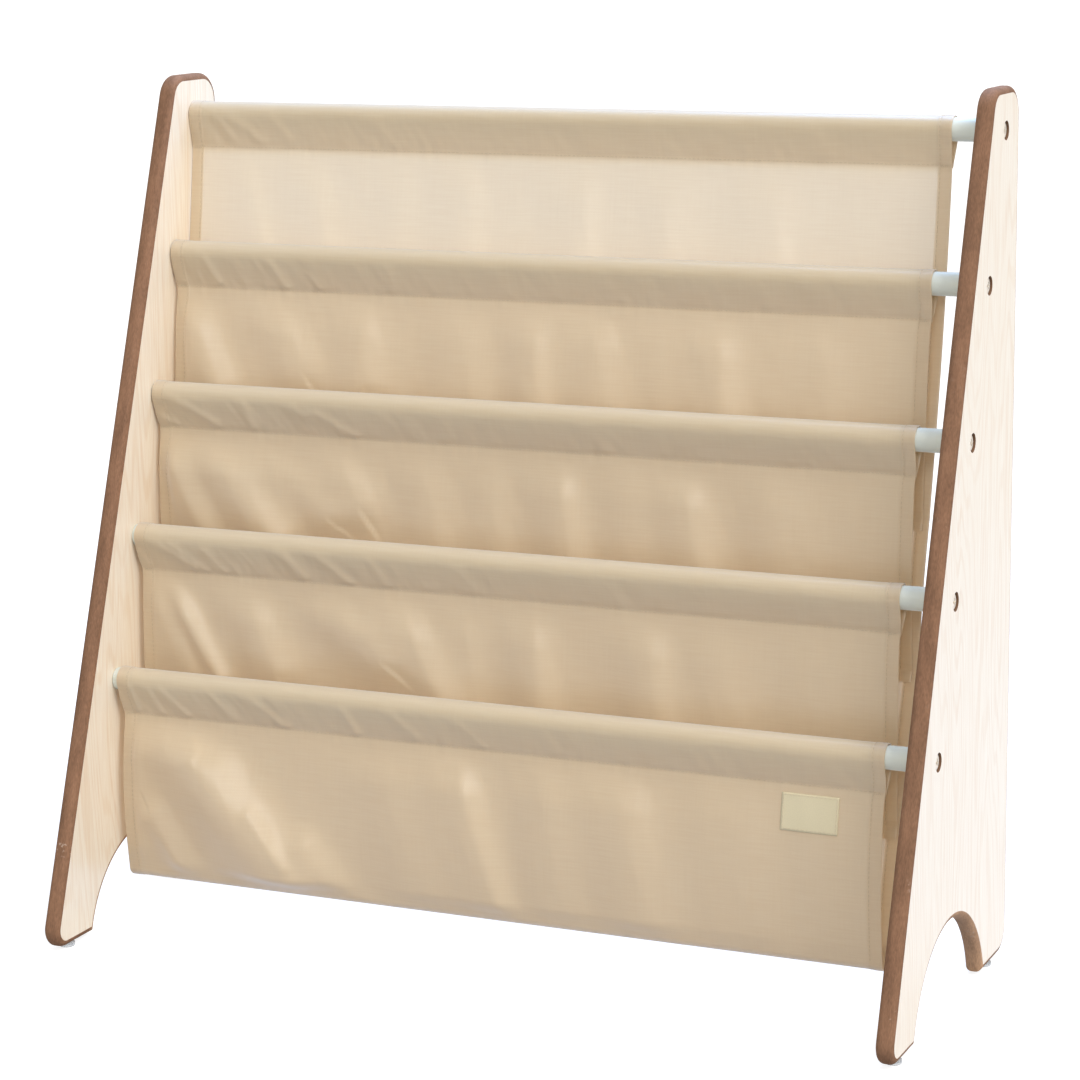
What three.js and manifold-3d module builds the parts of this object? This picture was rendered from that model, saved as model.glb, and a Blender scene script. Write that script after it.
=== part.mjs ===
// Sling bookshelf: two leaning side panels, five rods between them, and a cloth sling with four pockets.
// Millimetres, +X to the viewer's right, -Y to the front, +Z up.
// Pieces are placed from the rear edge of the side panels (y = 0) and their underside (z = 0).
import * as THREE from 'three';
import { mergeVertices } from 'three/addons/utils/BufferGeometryUtils.js';
import Module from 'manifold-3d';

const wasm = await Module();
wasm.setup();

// Side panels
const PANEL_HEIGHT = 600;
const PANEL_THICKNESS = 12;
const CLEAR_WIDTH = 600;
const TOP_DEPTH = 61;
const FOOT_DEPTH = 266;
const TOP_FRONT_RADIUS = 18;
const TOP_REAR_RADIUS = 20;
const NOSE_RADIUS = 13;
const HEEL_RADIUS = 18;
const EDGE_ROUNDING = 1.5;
const REAR_FOOT_WIDTH = 60;
const FRONT_FOOT_WIDTH = 54;
const ARCH_RISE = 59;

// Rods and their fastenings
const ROD_COUNT = 5;
const ROD_DIAMETER = 16;
const ROD_WALL = 1.2;
const TOP_ROD_DROP = 28.5;
const BOTTOM_ROD_HEIGHT = 176.5;
const ROD_SETBACK = 37.5;
const INSERT_LENGTH = 32;
const SCREW_DIAMETER = 6;
const SCREW_LENGTH = 32;
const SCREW_HEAD_DIAMETER = 11.4;
const SCREW_HEAD_HEIGHT = 2.4;
const COUNTERBORE_DIAMETER = 13;
const COUNTERBORE_DEPTH = 3.6;
const RECESS_WIDTH = 1.3;
const RECESS_LENGTH = 6;
const RECESS_DEPTH = 1.5;

// Floor glides
const GLIDE_DIAMETER = 11;
const GLIDE_HEIGHT = 3;
const GLIDE_TAPER = 0.8;
const PEG_DIAMETER = 4;
const PEG_LENGTH = 10;
const REAR_GLIDE_INSET = 36;
const FRONT_GLIDE_INSET = 27;

// Cloth
const CLOTH_THICKNESS = 1;
const CLOTH_LEFT_GAP = 2;
const CLOTH_RIGHT_GAP = 25;
const CLOTH_DRAW_IN = 0.5;
const SLEEVE_DROP = 24;
const POCKET_DROP = 156;
const BOTTOM_POCKET_DROP = 146;
const SEAM_ALLOWANCE = 8;
const BOTTOM_FOLD_RADIUS = 7;
const FIRST_SEAM_LEAD = 13;
const LATER_SEAM_LEAD = 0;
const BOTTOM_FOLD_LEAD = -4;
const BACK_BOWS = [-4, 2.5, 1.5, 0.5];
const POCKET_BOWS = [2, 4, 2.5, 5];
const FOLD_HEIGHT = 6;
const FOLD_WIDTH = 15;
const LABEL_WIDTH = 40;
const LABEL_HEIGHT = 25;
const LABEL_THICKNESS = 0.6;
const LABEL_FROM_RIGHT = 30;
const LABEL_BELOW_STITCH = 6;

// Clearances
const SEAT_GAP = 0.3;
const SLIDE_CLEARANCE = 0.3;
const SEAM_GAP = 0.5;
const CUT_OVERRUN = 1;

// Mesh fineness, in sides and steps
const ROUND_SIDES = 20;
const CORNER_STEPS = 6;
const ARCH_STEPS = 16;
const EDGE_STEPS = 2;
const SLEEVE_STEPS = 9;
const BACK_STRETCH_STEPS = 4;
const POCKET_STEPS = 7;
const FOLD_STEPS = 6;
const BACK_STATIONS = 9;
const POCKET_STATIONS = 17;
const STATION_EASE = 1.4;
const LABEL_STEPS = 3;

// Folds of each pocket, top pocket first, as shares of the cloth's width and of the pocket's drop:
// where the ridge starts and ends, then its height and width as shares of the fold's.
const FOLD_SHARES = [
  [
    { from: [0.02, 0.0], to: [0.07, 0.75], height: 0.6, width: 0.9 },
    { from: [0.13, 0.05], to: [0.19, 0.7], height: 0.5, width: 1.1 },
    { from: [0.25, 0.1], to: [0.27, 0.8], height: 0.4, width: 1.0 },
    { from: [0.47, 0.15], to: [0.49, 0.8], height: 0.35, width: 1.4 },
  ],
  [
    { from: [0.02, 0.0], to: [0.11, 0.8], height: 0.8, width: 0.9 },
    { from: [0.07, 0.0], to: [0.22, 0.85], height: 0.9, width: 1.0 },
    { from: [0.27, 0.05], to: [0.33, 0.75], height: 0.5, width: 1.2 },
    { from: [0.46, 0.1], to: [0.49, 0.8], height: 0.35, width: 1.4 },
  ],
  [
    { from: [0.04, 0.0], to: [0.15, 0.85], height: 1.0, width: 0.9 },
    { from: [0.19, 0.05], to: [0.34, 0.85], height: 0.6, width: 1.0 },
    { from: [0.36, 0.05], to: [0.42, 0.8], height: 0.6, width: 1.0 },
    { from: [0.6, 0.1], to: [0.62, 0.8], height: 0.35, width: 1.4 },
  ],
  [
    { from: [0.06, 0.0], to: [0.24, 0.75], height: 1.4, width: 1.2 },
    { from: [0.03, 0.5], to: [0.09, 0.95], height: 0.8, width: 0.8 },
    { from: [0.34, 0.2], to: [0.4, 0.9], height: 0.5, width: 1.6 },
    { from: [0.52, 0.1], to: [0.54, 0.8], height: 0.35, width: 1.6 },
  ],
];

const FINISHES = {
  panel: { color: '#f4e8d0', roughness: 0.55, metalness: 0 },
  rod: { color: '#e2e4df', roughness: 0.45, metalness: 0 },
  insert: { color: '#d6d4cc', roughness: 0.5, metalness: 0 },
  screw: { color: '#8f8878', roughness: 0.35, metalness: 1 },
  glide: { color: '#e9e7e2', roughness: 0.4, metalness: 0 },
  cloth: { color: '#d3bf9c', roughness: 0.8, metalness: 0 },
  label: { color: '#eadfbe', roughness: 0.85, metalness: 0 },
};

// Solids and meshes

function toSolid(geometry) {
  geometry.deleteAttribute('normal');
  geometry.deleteAttribute('uv');
  const merged = mergeVertices(geometry);
  return new wasm.Manifold(new wasm.Mesh({
    numProp: 3,
    vertProperties: merged.attributes.position.array,
    triVerts: new Uint32Array(merged.index.array),
  }));
}

function toGeometry(solid) {
  const { vertProperties, triVerts } = solid.getMesh();
  const geometry = new THREE.BufferGeometry();
  geometry.setAttribute('position', new THREE.BufferAttribute(vertProperties, 3));
  geometry.setIndex(new THREE.BufferAttribute(triVerts, 1));
  geometry.computeVertexNormals();
  return geometry;
}

function piece(name, geometry, finish) {
  const mesh = new THREE.Mesh(geometry, new THREE.MeshStandardMaterial(FINISHES[finish]));
  mesh.name = name;
  return mesh;
}

function cylinderAlongX(diameter, length, x = 0, y = 0, z = 0) {
  const geometry = new THREE.CylinderGeometry(diameter / 2, diameter / 2, length, ROUND_SIDES);
  return geometry.rotateZ(Math.PI / 2).translate(x, y, z);
}

// Places that the pieces share

const ROD_PITCH = (PANEL_HEIGHT - TOP_ROD_DROP - BOTTOM_ROD_HEIGHT) / (ROD_COUNT - 1);
const frontLineDepth = (z) => FOOT_DEPTH - ((FOOT_DEPTH - TOP_DEPTH) * z) / PANEL_HEIGHT;

function rodCentre(index) {
  const z = PANEL_HEIGHT - TOP_ROD_DROP - ROD_PITCH * index;
  return new THREE.Vector2(ROD_SETBACK - frontLineDepth(z), z);
}

const RODS = Array.from({ length: ROD_COUNT }, (_, index) => rodCentre(index));
const INNER_FACE = CLEAR_WIDTH / 2;
const PANEL_MIDDLE = INNER_FACE + PANEL_THICKNESS / 2;
const OUTER_FACE = INNER_FACE + PANEL_THICKNESS;
const CLOTH_LEFT = CLOTH_LEFT_GAP - INNER_FACE;
const CLOTH_WIDTH = CLEAR_WIDTH - CLOTH_LEFT_GAP - CLOTH_RIGHT_GAP;
const GLIDE_PLACES = { front: FRONT_GLIDE_INSET - FOOT_DEPTH, rear: -REAR_GLIDE_INSET };

// Side panels

function roundedCorner(before, corner, after, radius) {
  const toBefore = before.clone().sub(corner).normalize();
  const toAfter = after.clone().sub(corner).normalize();
  const halfAngle = toBefore.angleTo(toAfter) / 2;
  const towardsCentre = toBefore.clone().add(toAfter).setLength(radius / Math.sin(halfAngle));
  const centre = corner.clone().add(towardsCentre);
  const start = corner.clone().addScaledVector(toBefore, radius / Math.tan(halfAngle)).sub(centre);
  const turn = Math.PI - 2 * halfAngle;
  return Array.from({ length: CORNER_STEPS + 1 }, (_, step) => {
    const angle = start.angle() + (turn * step) / CORNER_STEPS;
    return new THREE.Vector2(Math.cos(angle), Math.sin(angle)).multiplyScalar(radius).add(centre);
  });
}

function footArch() {
  const halfSpan = (FOOT_DEPTH - REAR_FOOT_WIDTH - FRONT_FOOT_WIDTH) / 2;
  const radius = (halfSpan ** 2 + ARCH_RISE ** 2) / (2 * ARCH_RISE);
  const centre = new THREE.Vector2(-REAR_FOOT_WIDTH - halfSpan, ARCH_RISE - radius);
  const rearAngle = Math.asin(-centre.y / radius);
  return Array.from({ length: ARCH_STEPS + 1 }, (_, step) => {
    const angle = Math.PI - rearAngle - ((Math.PI - 2 * rearAngle) * step) / ARCH_STEPS;
    return new THREE.Vector2(Math.cos(angle), Math.sin(angle)).multiplyScalar(radius).add(centre);
  });
}

function panelOutline() {
  const heel = new THREE.Vector2(0, 0);
  const topRear = new THREE.Vector2(0, PANEL_HEIGHT);
  const topFront = new THREE.Vector2(-TOP_DEPTH, PANEL_HEIGHT);
  const nose = new THREE.Vector2(-FOOT_DEPTH, 0);
  return [
    ...roundedCorner(nose, heel, topRear, HEEL_RADIUS),
    ...roundedCorner(heel, topRear, topFront, TOP_REAR_RADIUS),
    ...roundedCorner(topRear, topFront, nose, TOP_FRONT_RADIUS),
    ...roundedCorner(topFront, nose, heel, NOSE_RADIUS),
    ...footArch(),
  ];
}

function sidePanel(side) {
  const board = new THREE.ExtrudeGeometry(new THREE.Shape(panelOutline()), {
    depth: PANEL_THICKNESS - 2 * EDGE_ROUNDING,
    bevelThickness: EDGE_ROUNDING,
    bevelSize: EDGE_ROUNDING,
    bevelOffset: -EDGE_ROUNDING,
    bevelSegments: EDGE_STEPS,
  });
  board.translate(0, 0, EDGE_ROUNDING - PANEL_THICKNESS / 2);
  board.applyMatrix4(new THREE.Matrix4().makeBasis(
    new THREE.Vector3(0, 1, 0),
    new THREE.Vector3(0, 0, 1),
    new THREE.Vector3(1, 0, 0),
  ));
  let solid = toSolid(board);
  for (const rod of RODS) {
    const hole = cylinderAlongX(SCREW_DIAMETER + 2 * SLIDE_CLEARANCE, PANEL_THICKNESS + 2 * CUT_OVERRUN);
    const sunkLength = COUNTERBORE_DEPTH + CUT_OVERRUN;
    const sunkMiddle = side * (PANEL_THICKNESS / 2 + CUT_OVERRUN - sunkLength / 2);
    const counterbore = cylinderAlongX(COUNTERBORE_DIAMETER, sunkLength, sunkMiddle);
    for (const cut of [hole, counterbore]) {
      solid = solid.subtract(toSolid(cut.translate(0, rod.x, rod.y)));
    }
  }
  for (const place of Object.values(GLIDE_PLACES)) {
    const radius = PEG_DIAMETER / 2 + SLIDE_CLEARANCE;
    const depth = PEG_LENGTH + SEAT_GAP;
    const hole = new THREE.CylinderGeometry(radius, radius, depth + CUT_OVERRUN, ROUND_SIDES);
    hole.rotateX(Math.PI / 2).translate(0, place, (depth - CUT_OVERRUN) / 2);
    solid = solid.subtract(toSolid(hole));
  }
  return toGeometry(solid).translate(side * PANEL_MIDDLE, 0, 0);
}

// Rods, inserts, screws and glides

function ringAlongX(innerDiameter, outerDiameter, length) {
  const inner = innerDiameter / 2;
  const outer = outerDiameter / 2;
  const profile = [
    new THREE.Vector2(inner, -length / 2),
    new THREE.Vector2(outer, -length / 2),
    new THREE.Vector2(outer, length / 2),
    new THREE.Vector2(inner, length / 2),
    new THREE.Vector2(inner, -length / 2),
  ];
  return new THREE.LatheGeometry(profile, ROUND_SIDES).rotateZ(-Math.PI / 2);
}

function rodTube(centre) {
  const tube = ringAlongX(ROD_DIAMETER - 2 * ROD_WALL, ROD_DIAMETER, CLEAR_WIDTH - 2 * SEAT_GAP);
  return toGeometry(toSolid(tube.translate(0, centre.x, centre.y)));
}

function rodInsert(centre, side) {
  const bore = SCREW_DIAMETER + 2 * SLIDE_CLEARANCE;
  const outer = ROD_DIAMETER - 2 * ROD_WALL - 2 * SLIDE_CLEARANCE;
  const plug = ringAlongX(bore, outer, INSERT_LENGTH);
  const middle = side * (INNER_FACE - SEAT_GAP - INSERT_LENGTH / 2);
  return toGeometry(toSolid(plug.translate(middle, centre.x, centre.y)));
}

function rodScrew(centre, side) {
  const seat = OUTER_FACE - COUNTERBORE_DEPTH + SEAT_GAP;
  const top = seat + SCREW_HEAD_HEIGHT;
  const head = cylinderAlongX(SCREW_HEAD_DIAMETER, SCREW_HEAD_HEIGHT, seat + SCREW_HEAD_HEIGHT / 2);
  const shankMiddle = seat + (CUT_OVERRUN - SCREW_LENGTH) / 2;
  const shank = cylinderAlongX(SCREW_DIAMETER, SCREW_LENGTH + CUT_OVERRUN, shankMiddle);
  let solid = toSolid(head).add(toSolid(shank));
  for (const turn of [0, Math.PI / 2]) {
    const slot = new THREE.BoxGeometry(2 * RECESS_DEPTH, RECESS_WIDTH, RECESS_LENGTH);
    solid = solid.subtract(toSolid(slot.rotateX(turn).translate(top, 0, 0)));
  }
  const turned = side > 0 ? 0 : Math.PI;
  return toGeometry(solid).rotateZ(turned).translate(0, centre.x, centre.y);
}

function floorGlide(side, place) {
  const radius = GLIDE_DIAMETER / 2;
  const discHeight = GLIDE_HEIGHT - SEAT_GAP;
  const disc = new THREE.CylinderGeometry(radius, radius - GLIDE_TAPER, discHeight, ROUND_SIDES);
  const pegRadius = PEG_DIAMETER / 2;
  const pegLength = PEG_LENGTH + GLIDE_HEIGHT / 2;
  const peg = new THREE.CylinderGeometry(pegRadius, pegRadius, pegLength, ROUND_SIDES);
  disc.rotateX(Math.PI / 2).translate(0, 0, -(GLIDE_HEIGHT + SEAT_GAP) / 2);
  peg.rotateX(Math.PI / 2).translate(0, 0, (PEG_LENGTH - GLIDE_HEIGHT / 2) / 2);
  return toGeometry(toSolid(disc).add(toSolid(peg))).translate(side * PANEL_MIDDLE, place, 0);
}

// Cloth: each sheet is a closed ring of points in the depth-height plane, carried across the width.

const forwardOf = (down) => new THREE.Vector2(down.y, -down.x);

function sleeveFrame(rod, target) {
  const down = target.clone().sub(rod).normalize();
  const stitch = rod.clone().addScaledVector(down, SLEEVE_DROP);
  return { rod, down, forward: forwardOf(down), stitch };
}

// Points round the rod, from the rear of the stitch line, over the top, to its front
function sleeveLoop(sleeve, radius, reach, halfWidth) {
  const spread = Math.atan2(halfWidth, reach) + Math.acos(radius / Math.hypot(halfWidth, reach));
  const at = (along, across) => sleeve.rod.clone()
    .addScaledVector(sleeve.down, along)
    .addScaledVector(sleeve.forward, across);
  const points = [at(reach, -halfWidth)];
  for (let step = 0; step <= SLEEVE_STEPS; step += 1) {
    const angle = -spread - (2 * (Math.PI - spread) * step) / SLEEVE_STEPS;
    points.push(at(radius * Math.cos(angle), radius * Math.sin(angle)));
  }
  return [...points, at(reach, halfWidth)];
}

const sleeveOutside = (sleeve) => sleeveLoop(
  sleeve,
  ROD_DIAMETER / 2 + SLIDE_CLEARANCE + CLOTH_THICKNESS,
  SLEEVE_DROP,
  CLOTH_THICKNESS,
);

const sleeveInside = (sleeve) => sleeveLoop(
  sleeve,
  ROD_DIAMETER / 2 + SLIDE_CLEARANCE,
  SLEEVE_DROP - CLOTH_THICKNESS,
  0,
).slice(0, -1).reverse();

// One stretch of hanging cloth: a straight line with a bow to the front
function stretch(from, to, bow, steps) {
  const forward = forwardOf(to.clone().sub(from).normalize());
  return Array.from({ length: steps + 1 }, (_, step) => {
    const share = step / steps;
    return from.clone().lerp(to, share).addScaledVector(forward, bow * Math.sin(Math.PI * share));
  });
}

function pathNormals(path) {
  return path.map((point, index) => {
    const before = path[Math.max(index - 1, 0)];
    const after = path[Math.min(index + 1, path.length - 1)];
    return forwardOf(after.clone().sub(before).normalize());
  });
}

const offsetPath = (path, distance) => {
  const normals = pathNormals(path);
  return path.map((point, index) => point.clone().addScaledVector(normals[index], distance));
};

function foldRise(folds, acrossShare, downShare) {
  const here = new THREE.Vector2(acrossShare * CLOTH_WIDTH, downShare * POCKET_DROP);
  let rise = 0;
  for (const fold of folds) {
    const from = new THREE.Vector2(fold.from[0] * CLOTH_WIDTH, fold.from[1] * POCKET_DROP);
    const along = new THREE.Vector2(fold.to[0] * CLOTH_WIDTH, fold.to[1] * POCKET_DROP).sub(from);
    const share = here.clone().sub(from).dot(along) / along.lengthSq();
    const nearest = from.clone().addScaledVector(along, THREE.MathUtils.clamp(share, 0, 1));
    const distance = here.distanceTo(nearest) / (fold.width * FOLD_WIDTH);
    rise += fold.height * FOLD_HEIGHT * Math.exp(-distance * distance);
  }
  return rise * Math.sin(Math.PI * downShare);
}

// Places of the seams on the back sheet's middle line, from the rods that the pockets hang from
const SEAMS = RODS.slice(1, -1).map((rod, index) => new THREE.Vector2(
  rod.x - (index === 0 ? FIRST_SEAM_LEAD : LATER_SEAM_LEAD),
  rod.y - POCKET_DROP,
));
const LAST_ROD = RODS[ROD_COUNT - 1];
const BOTTOM_FOLD = new THREE.Vector2(
  LAST_ROD.x - BOTTOM_FOLD_LEAD,
  LAST_ROD.y - BOTTOM_POCKET_DROP + BOTTOM_FOLD_RADIUS,
);
const SEAM_OFFSET = CLOTH_THICKNESS + SEAM_GAP;

// Angle at which a line from a point touches the bottom fold, on the rear (-1) or the front (+1)
function foldTangentAngle(point, side) {
  const away = point.clone().sub(BOTTOM_FOLD);
  return Math.atan2(away.y, away.x) + side * Math.acos(BOTTOM_FOLD_RADIUS / away.length());
}

const onBottomFold = (angle, radius) => new THREE.Vector2(Math.cos(angle), Math.sin(angle))
  .multiplyScalar(radius)
  .add(BOTTOM_FOLD);

const LAST_SEAM = SEAMS[SEAMS.length - 1];
const REAR_FOLD_ANGLE = foldTangentAngle(LAST_SEAM, -1);
const BACK_SHEET_END = onBottomFold(REAR_FOLD_ANGLE, BOTTOM_FOLD_RADIUS - SEAM_OFFSET);

function frontStart(sleeve) {
  return sleeve.stitch.clone().addScaledVector(sleeve.forward, CLOTH_THICKNESS / 2);
}

const BACK_SLEEVE = sleeveFrame(RODS[0], SEAMS[0]);

function backPath() {
  const corners = [frontStart(BACK_SLEEVE), ...SEAMS, BACK_SHEET_END];
  const stretches = BACK_BOWS.map((bow, index) => (
    stretch(corners[index], corners[index + 1], bow, BACK_STRETCH_STEPS)
  ));
  return stretches.flatMap((points, index) => (index === 0 ? points : points.slice(1)));
}

// The pocket panels sewn to the back sheet's front at the seams
function pocketPath(index) {
  const sleeve = sleeveFrame(RODS[index + 1], SEAMS[index]);
  const back = backPath();
  const seam = (index + 1) * BACK_STRETCH_STEPS;
  const alongBack = back[seam + 1].clone().sub(back[seam]).setLength(SEAM_ALLOWANCE);
  const forward = forwardOf(alongBack.clone().normalize());
  const meeting = SEAMS[index].clone().addScaledVector(forward, SEAM_OFFSET);
  const hanging = stretch(frontStart(sleeve), meeting, POCKET_BOWS[index], POCKET_STEPS);
  return { sleeve, path: [...hanging, meeting.clone().add(alongBack)], hangingSteps: POCKET_STEPS };
}

// The bottom pocket's panel turns under and up behind the back sheet
function bottomPocketPath() {
  const index = ROD_COUNT - 2;
  const sleeve = sleeveFrame(LAST_ROD, onBottomFold(Math.PI, BOTTOM_FOLD_RADIUS));
  const frontAngle = foldTangentAngle(frontStart(sleeve), 1);
  const turn = REAR_FOLD_ANGLE + 2 * Math.PI - frontAngle;
  const frontFoot = onBottomFold(frontAngle, BOTTOM_FOLD_RADIUS);
  const hanging = stretch(frontStart(sleeve), frontFoot, POCKET_BOWS[index], POCKET_STEPS);
  const under = Array.from({ length: FOLD_STEPS }, (_, step) => (
    onBottomFold(frontAngle + (turn * (step + 1)) / FOLD_STEPS, BOTTOM_FOLD_RADIUS)
  ));
  const lastUnder = under[under.length - 1];
  const upBehind = LAST_SEAM.clone().sub(lastUnder).setLength(SEAM_ALLOWANCE).add(lastUnder);
  return { sleeve, path: [...hanging, ...under, upBehind], hangingSteps: POCKET_STEPS };
}

function foldedPath(path, hangingSteps, folds, acrossShare) {
  const normals = pathNormals(path);
  return path.map((point, index) => {
    const downShare = Math.min(index / hangingSteps, 1);
    return point.clone().addScaledVector(normals[index], foldRise(folds, acrossShare, downShare));
  });
}

function sheetRings(sleeve, path) {
  const inner = offsetPath(path, -CLOTH_THICKNESS / 2).reverse();
  const outer = offsetPath(path, CLOTH_THICKNESS / 2);
  return {
    outline: [...inner, ...sleeveOutside(sleeve), ...outer.slice(1)],
    holes: [sleeveInside(sleeve)],
  };
}

// A closed solid from rings of points at stations across the width
function acrossWidth(stations, ringsAt, xAt) {
  const positions = [];
  const indices = [];
  const sections = stations.map((share) => {
    const { outline, holes } = ringsAt(share);
    return [outline, ...holes];
  });
  const pointCount = sections[0].reduce((sum, ring) => sum + ring.length, 0);
  sections.forEach((rings, station) => {
    for (const point of rings.flat()) {
      positions.push(xAt(stations[station], point), point.x, point.y);
    }
  });
  for (let station = 0; station + 1 < stations.length; station += 1) {
    let start = station * pointCount;
    for (const ring of sections[station]) {
      for (let here = 0; here < ring.length; here += 1) {
        const a = start + here;
        const b = start + ((here + 1) % ring.length);
        indices.push(a, b, b + pointCount, a, b + pointCount, a + pointCount);
      }
      start += ring.length;
    }
  }
  [[0, -1], [stations.length - 1, 1]].forEach(([station, facing]) => {
    const [outline, ...holes] = sections[station];
    for (const face of THREE.ShapeUtils.triangulateShape([...outline], holes.map((ring) => [...ring]))) {
      const ordered = facing > 0 ? face : [...face].reverse();
      indices.push(...ordered.map((corner) => station * pointCount + corner));
    }
  });
  const geometry = new THREE.BufferGeometry();
  geometry.setAttribute('position', new THREE.BufferAttribute(new Float32Array(positions), 3));
  geometry.setIndex(indices);
  return geometry;
}

const stationShares = (count) => Array.from({ length: count }, (_, index) => (
  (index / (count - 1)) ** STATION_EASE
));

// The cloth is drawn in a little at both ends below its sleeve
function clothX(share, point, sleeve) {
  const below = THREE.MathUtils.clamp((sleeve.rod.y - point.y) / SLEEVE_DROP - 1, 0, 1);
  return CLOTH_LEFT + share * CLOTH_WIDTH + CLOTH_DRAW_IN * below * (1 - 2 * share);
}

function backSheet() {
  const path = backPath();
  return acrossWidth(
    stationShares(BACK_STATIONS),
    () => sheetRings(BACK_SLEEVE, path),
    (share, point) => clothX(share, point, BACK_SLEEVE),
  );
}

const pocketAt = (index) => (index === ROD_COUNT - 2 ? bottomPocketPath() : pocketPath(index));

function pocketPanel(index) {
  const { sleeve, path, hangingSteps } = pocketAt(index);
  return acrossWidth(
    stationShares(POCKET_STATIONS),
    (share) => sheetRings(sleeve, foldedPath(path, hangingSteps, FOLD_SHARES[index], share)),
    (share, point) => clothX(share, point, sleeve),
  );
}

// The blank label lies on the bottom pocket, following its surface
function label() {
  const { path } = bottomPocketPath();
  const span = new THREE.SplineCurve(path);
  const top = LABEL_BELOW_STITCH / span.getLength();
  const bottom = (LABEL_BELOW_STITCH + LABEL_HEIGHT) / span.getLength();
  const under = Array.from({ length: LABEL_STEPS + 1 }, (_, step) => (
    span.getPointAt(THREE.MathUtils.lerp(top, bottom, step / LABEL_STEPS))
  ));
  const inside = CLOTH_THICKNESS / 2 + SEAT_GAP;
  const outline = [
    ...offsetPath(under, inside).reverse(),
    ...offsetPath(under, inside + LABEL_THICKNESS),
  ];
  const left = CLOTH_LEFT + CLOTH_WIDTH - LABEL_FROM_RIGHT - LABEL_WIDTH;
  return acrossWidth([0, 1], () => ({ outline, holes: [] }), (share) => left + share * LABEL_WIDTH);
}

// Assembly

function bookshelf() {
  const shelf = new THREE.Group();
  const sides = { left: -1, right: 1 };
  for (const [name, side] of Object.entries(sides)) {
    shelf.add(piece(`side_panel_${name}`, sidePanel(side), 'panel'));
    for (const [end, place] of Object.entries(GLIDE_PLACES)) {
      shelf.add(piece(`floor_glide_${end}_${name}`, floorGlide(side, place), 'glide'));
    }
  }
  RODS.forEach((centre, index) => {
    shelf.add(piece(`rod_${index + 1}`, rodTube(centre), 'rod'));
    for (const [name, side] of Object.entries(sides)) {
      shelf.add(piece(`rod_insert_${index + 1}_${name}`, rodInsert(centre, side), 'insert'));
      shelf.add(piece(`rod_screw_${index + 1}_${name}`, rodScrew(centre, side), 'screw'));
    }
  });
  shelf.add(piece('back_sheet', backSheet(), 'cloth'));
  for (let index = 0; index < ROD_COUNT - 1; index += 1) {
    shelf.add(piece(`pocket_panel_${index + 1}`, pocketPanel(index), 'cloth'));
  }
  shelf.add(piece('blank_label', label(), 'label'));

  const outline = new THREE.Box2().setFromPoints(panelOutline());
  shelf.position.set(0, -(outline.min.x + outline.max.x) / 2, GLIDE_HEIGHT);
  return shelf;
}

export default bookshelf();
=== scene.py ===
"""Sling bookshelf for a child's room: two leaning side boards, five rods and a cloth sling with four pockets.

Metres, +X to the right seen from the front, -Y to the front, +Z up, the floor at Z = 0.
"""

import bisect
import math

import bmesh
import bpy
from mathutils import Matrix, Vector, noise


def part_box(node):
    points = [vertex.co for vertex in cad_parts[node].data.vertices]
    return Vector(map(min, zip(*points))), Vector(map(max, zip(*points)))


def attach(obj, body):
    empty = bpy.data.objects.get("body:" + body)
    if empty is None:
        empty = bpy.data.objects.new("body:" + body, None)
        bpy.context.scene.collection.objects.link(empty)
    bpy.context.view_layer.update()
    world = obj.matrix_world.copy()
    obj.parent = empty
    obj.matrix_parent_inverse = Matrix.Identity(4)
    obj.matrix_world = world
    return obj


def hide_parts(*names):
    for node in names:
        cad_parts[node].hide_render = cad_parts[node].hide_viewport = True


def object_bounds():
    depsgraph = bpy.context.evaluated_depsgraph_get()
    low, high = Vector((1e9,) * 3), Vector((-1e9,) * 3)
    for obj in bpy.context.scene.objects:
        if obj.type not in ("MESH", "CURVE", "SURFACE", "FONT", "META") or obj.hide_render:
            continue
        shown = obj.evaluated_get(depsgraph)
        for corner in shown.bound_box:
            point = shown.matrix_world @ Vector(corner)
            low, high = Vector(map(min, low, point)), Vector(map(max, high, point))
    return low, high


bl_info = {
    "name": "Sling bookshelf",
    "version": (1, 0, 0),
    "blender": (4, 5, 0),
    "location": "3D View > Sidebar > Bookshelf",
    "description": "Models a child's sling bookshelf, its finishes and a plain stage around it",
    "category": "Add Mesh",
}

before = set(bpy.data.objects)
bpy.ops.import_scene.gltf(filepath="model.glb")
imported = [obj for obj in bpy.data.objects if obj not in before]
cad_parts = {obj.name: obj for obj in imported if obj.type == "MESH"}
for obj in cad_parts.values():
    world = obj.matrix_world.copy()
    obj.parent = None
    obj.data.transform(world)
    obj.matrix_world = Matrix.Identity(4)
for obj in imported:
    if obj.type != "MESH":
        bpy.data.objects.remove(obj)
CAD_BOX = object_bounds()

MM = 0.001
X_AXIS = Vector((1, 0, 0))
Z_AXIS = Vector((0, 0, 1))
SIDES = {"left": -1, "right": 1}
ENDS = ("front", "rear")
ROD_NODES = sorted(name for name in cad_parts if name.startswith("rod_") and name.count("_") == 1)

# How finely round, bent and hanging shapes are divided
ROUND_SIDES = 48
SMALL_ROUND_SIDES = 36
CORNER_STEPS = 14
ARCH_STEPS = 48
EDGE_STEPS = 6
DOME_STEPS = 6
RIM_STEPS = 6
LOOP_STEPS = 40
BACK_STEPS = 24
POCKET_STEPS = 60
BOTTOM_FOLD_STEPS = 16
BACK_ROWS = 240
POCKET_ROWS = 150
HEM_COLUMNS = 4
HEM_EDGE_COLUMNS = 8
MIDDLE_COLUMNS = 300
LABEL_COLUMNS, LABEL_ROWS = 28, 18
THREAD_SIDES, THREAD_RINGS = 6, 4

# Vertices nearer than this are one, and faces that meet at a sharper angle than these are creased
MERGE_DISTANCE = 0.001 * MM
BOARD_CREASE = math.radians(30)
TUBE_CREASE = math.radians(50)
SCREW_CREASE = math.radians(35)
GLIDE_CREASE = math.radians(40)

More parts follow.
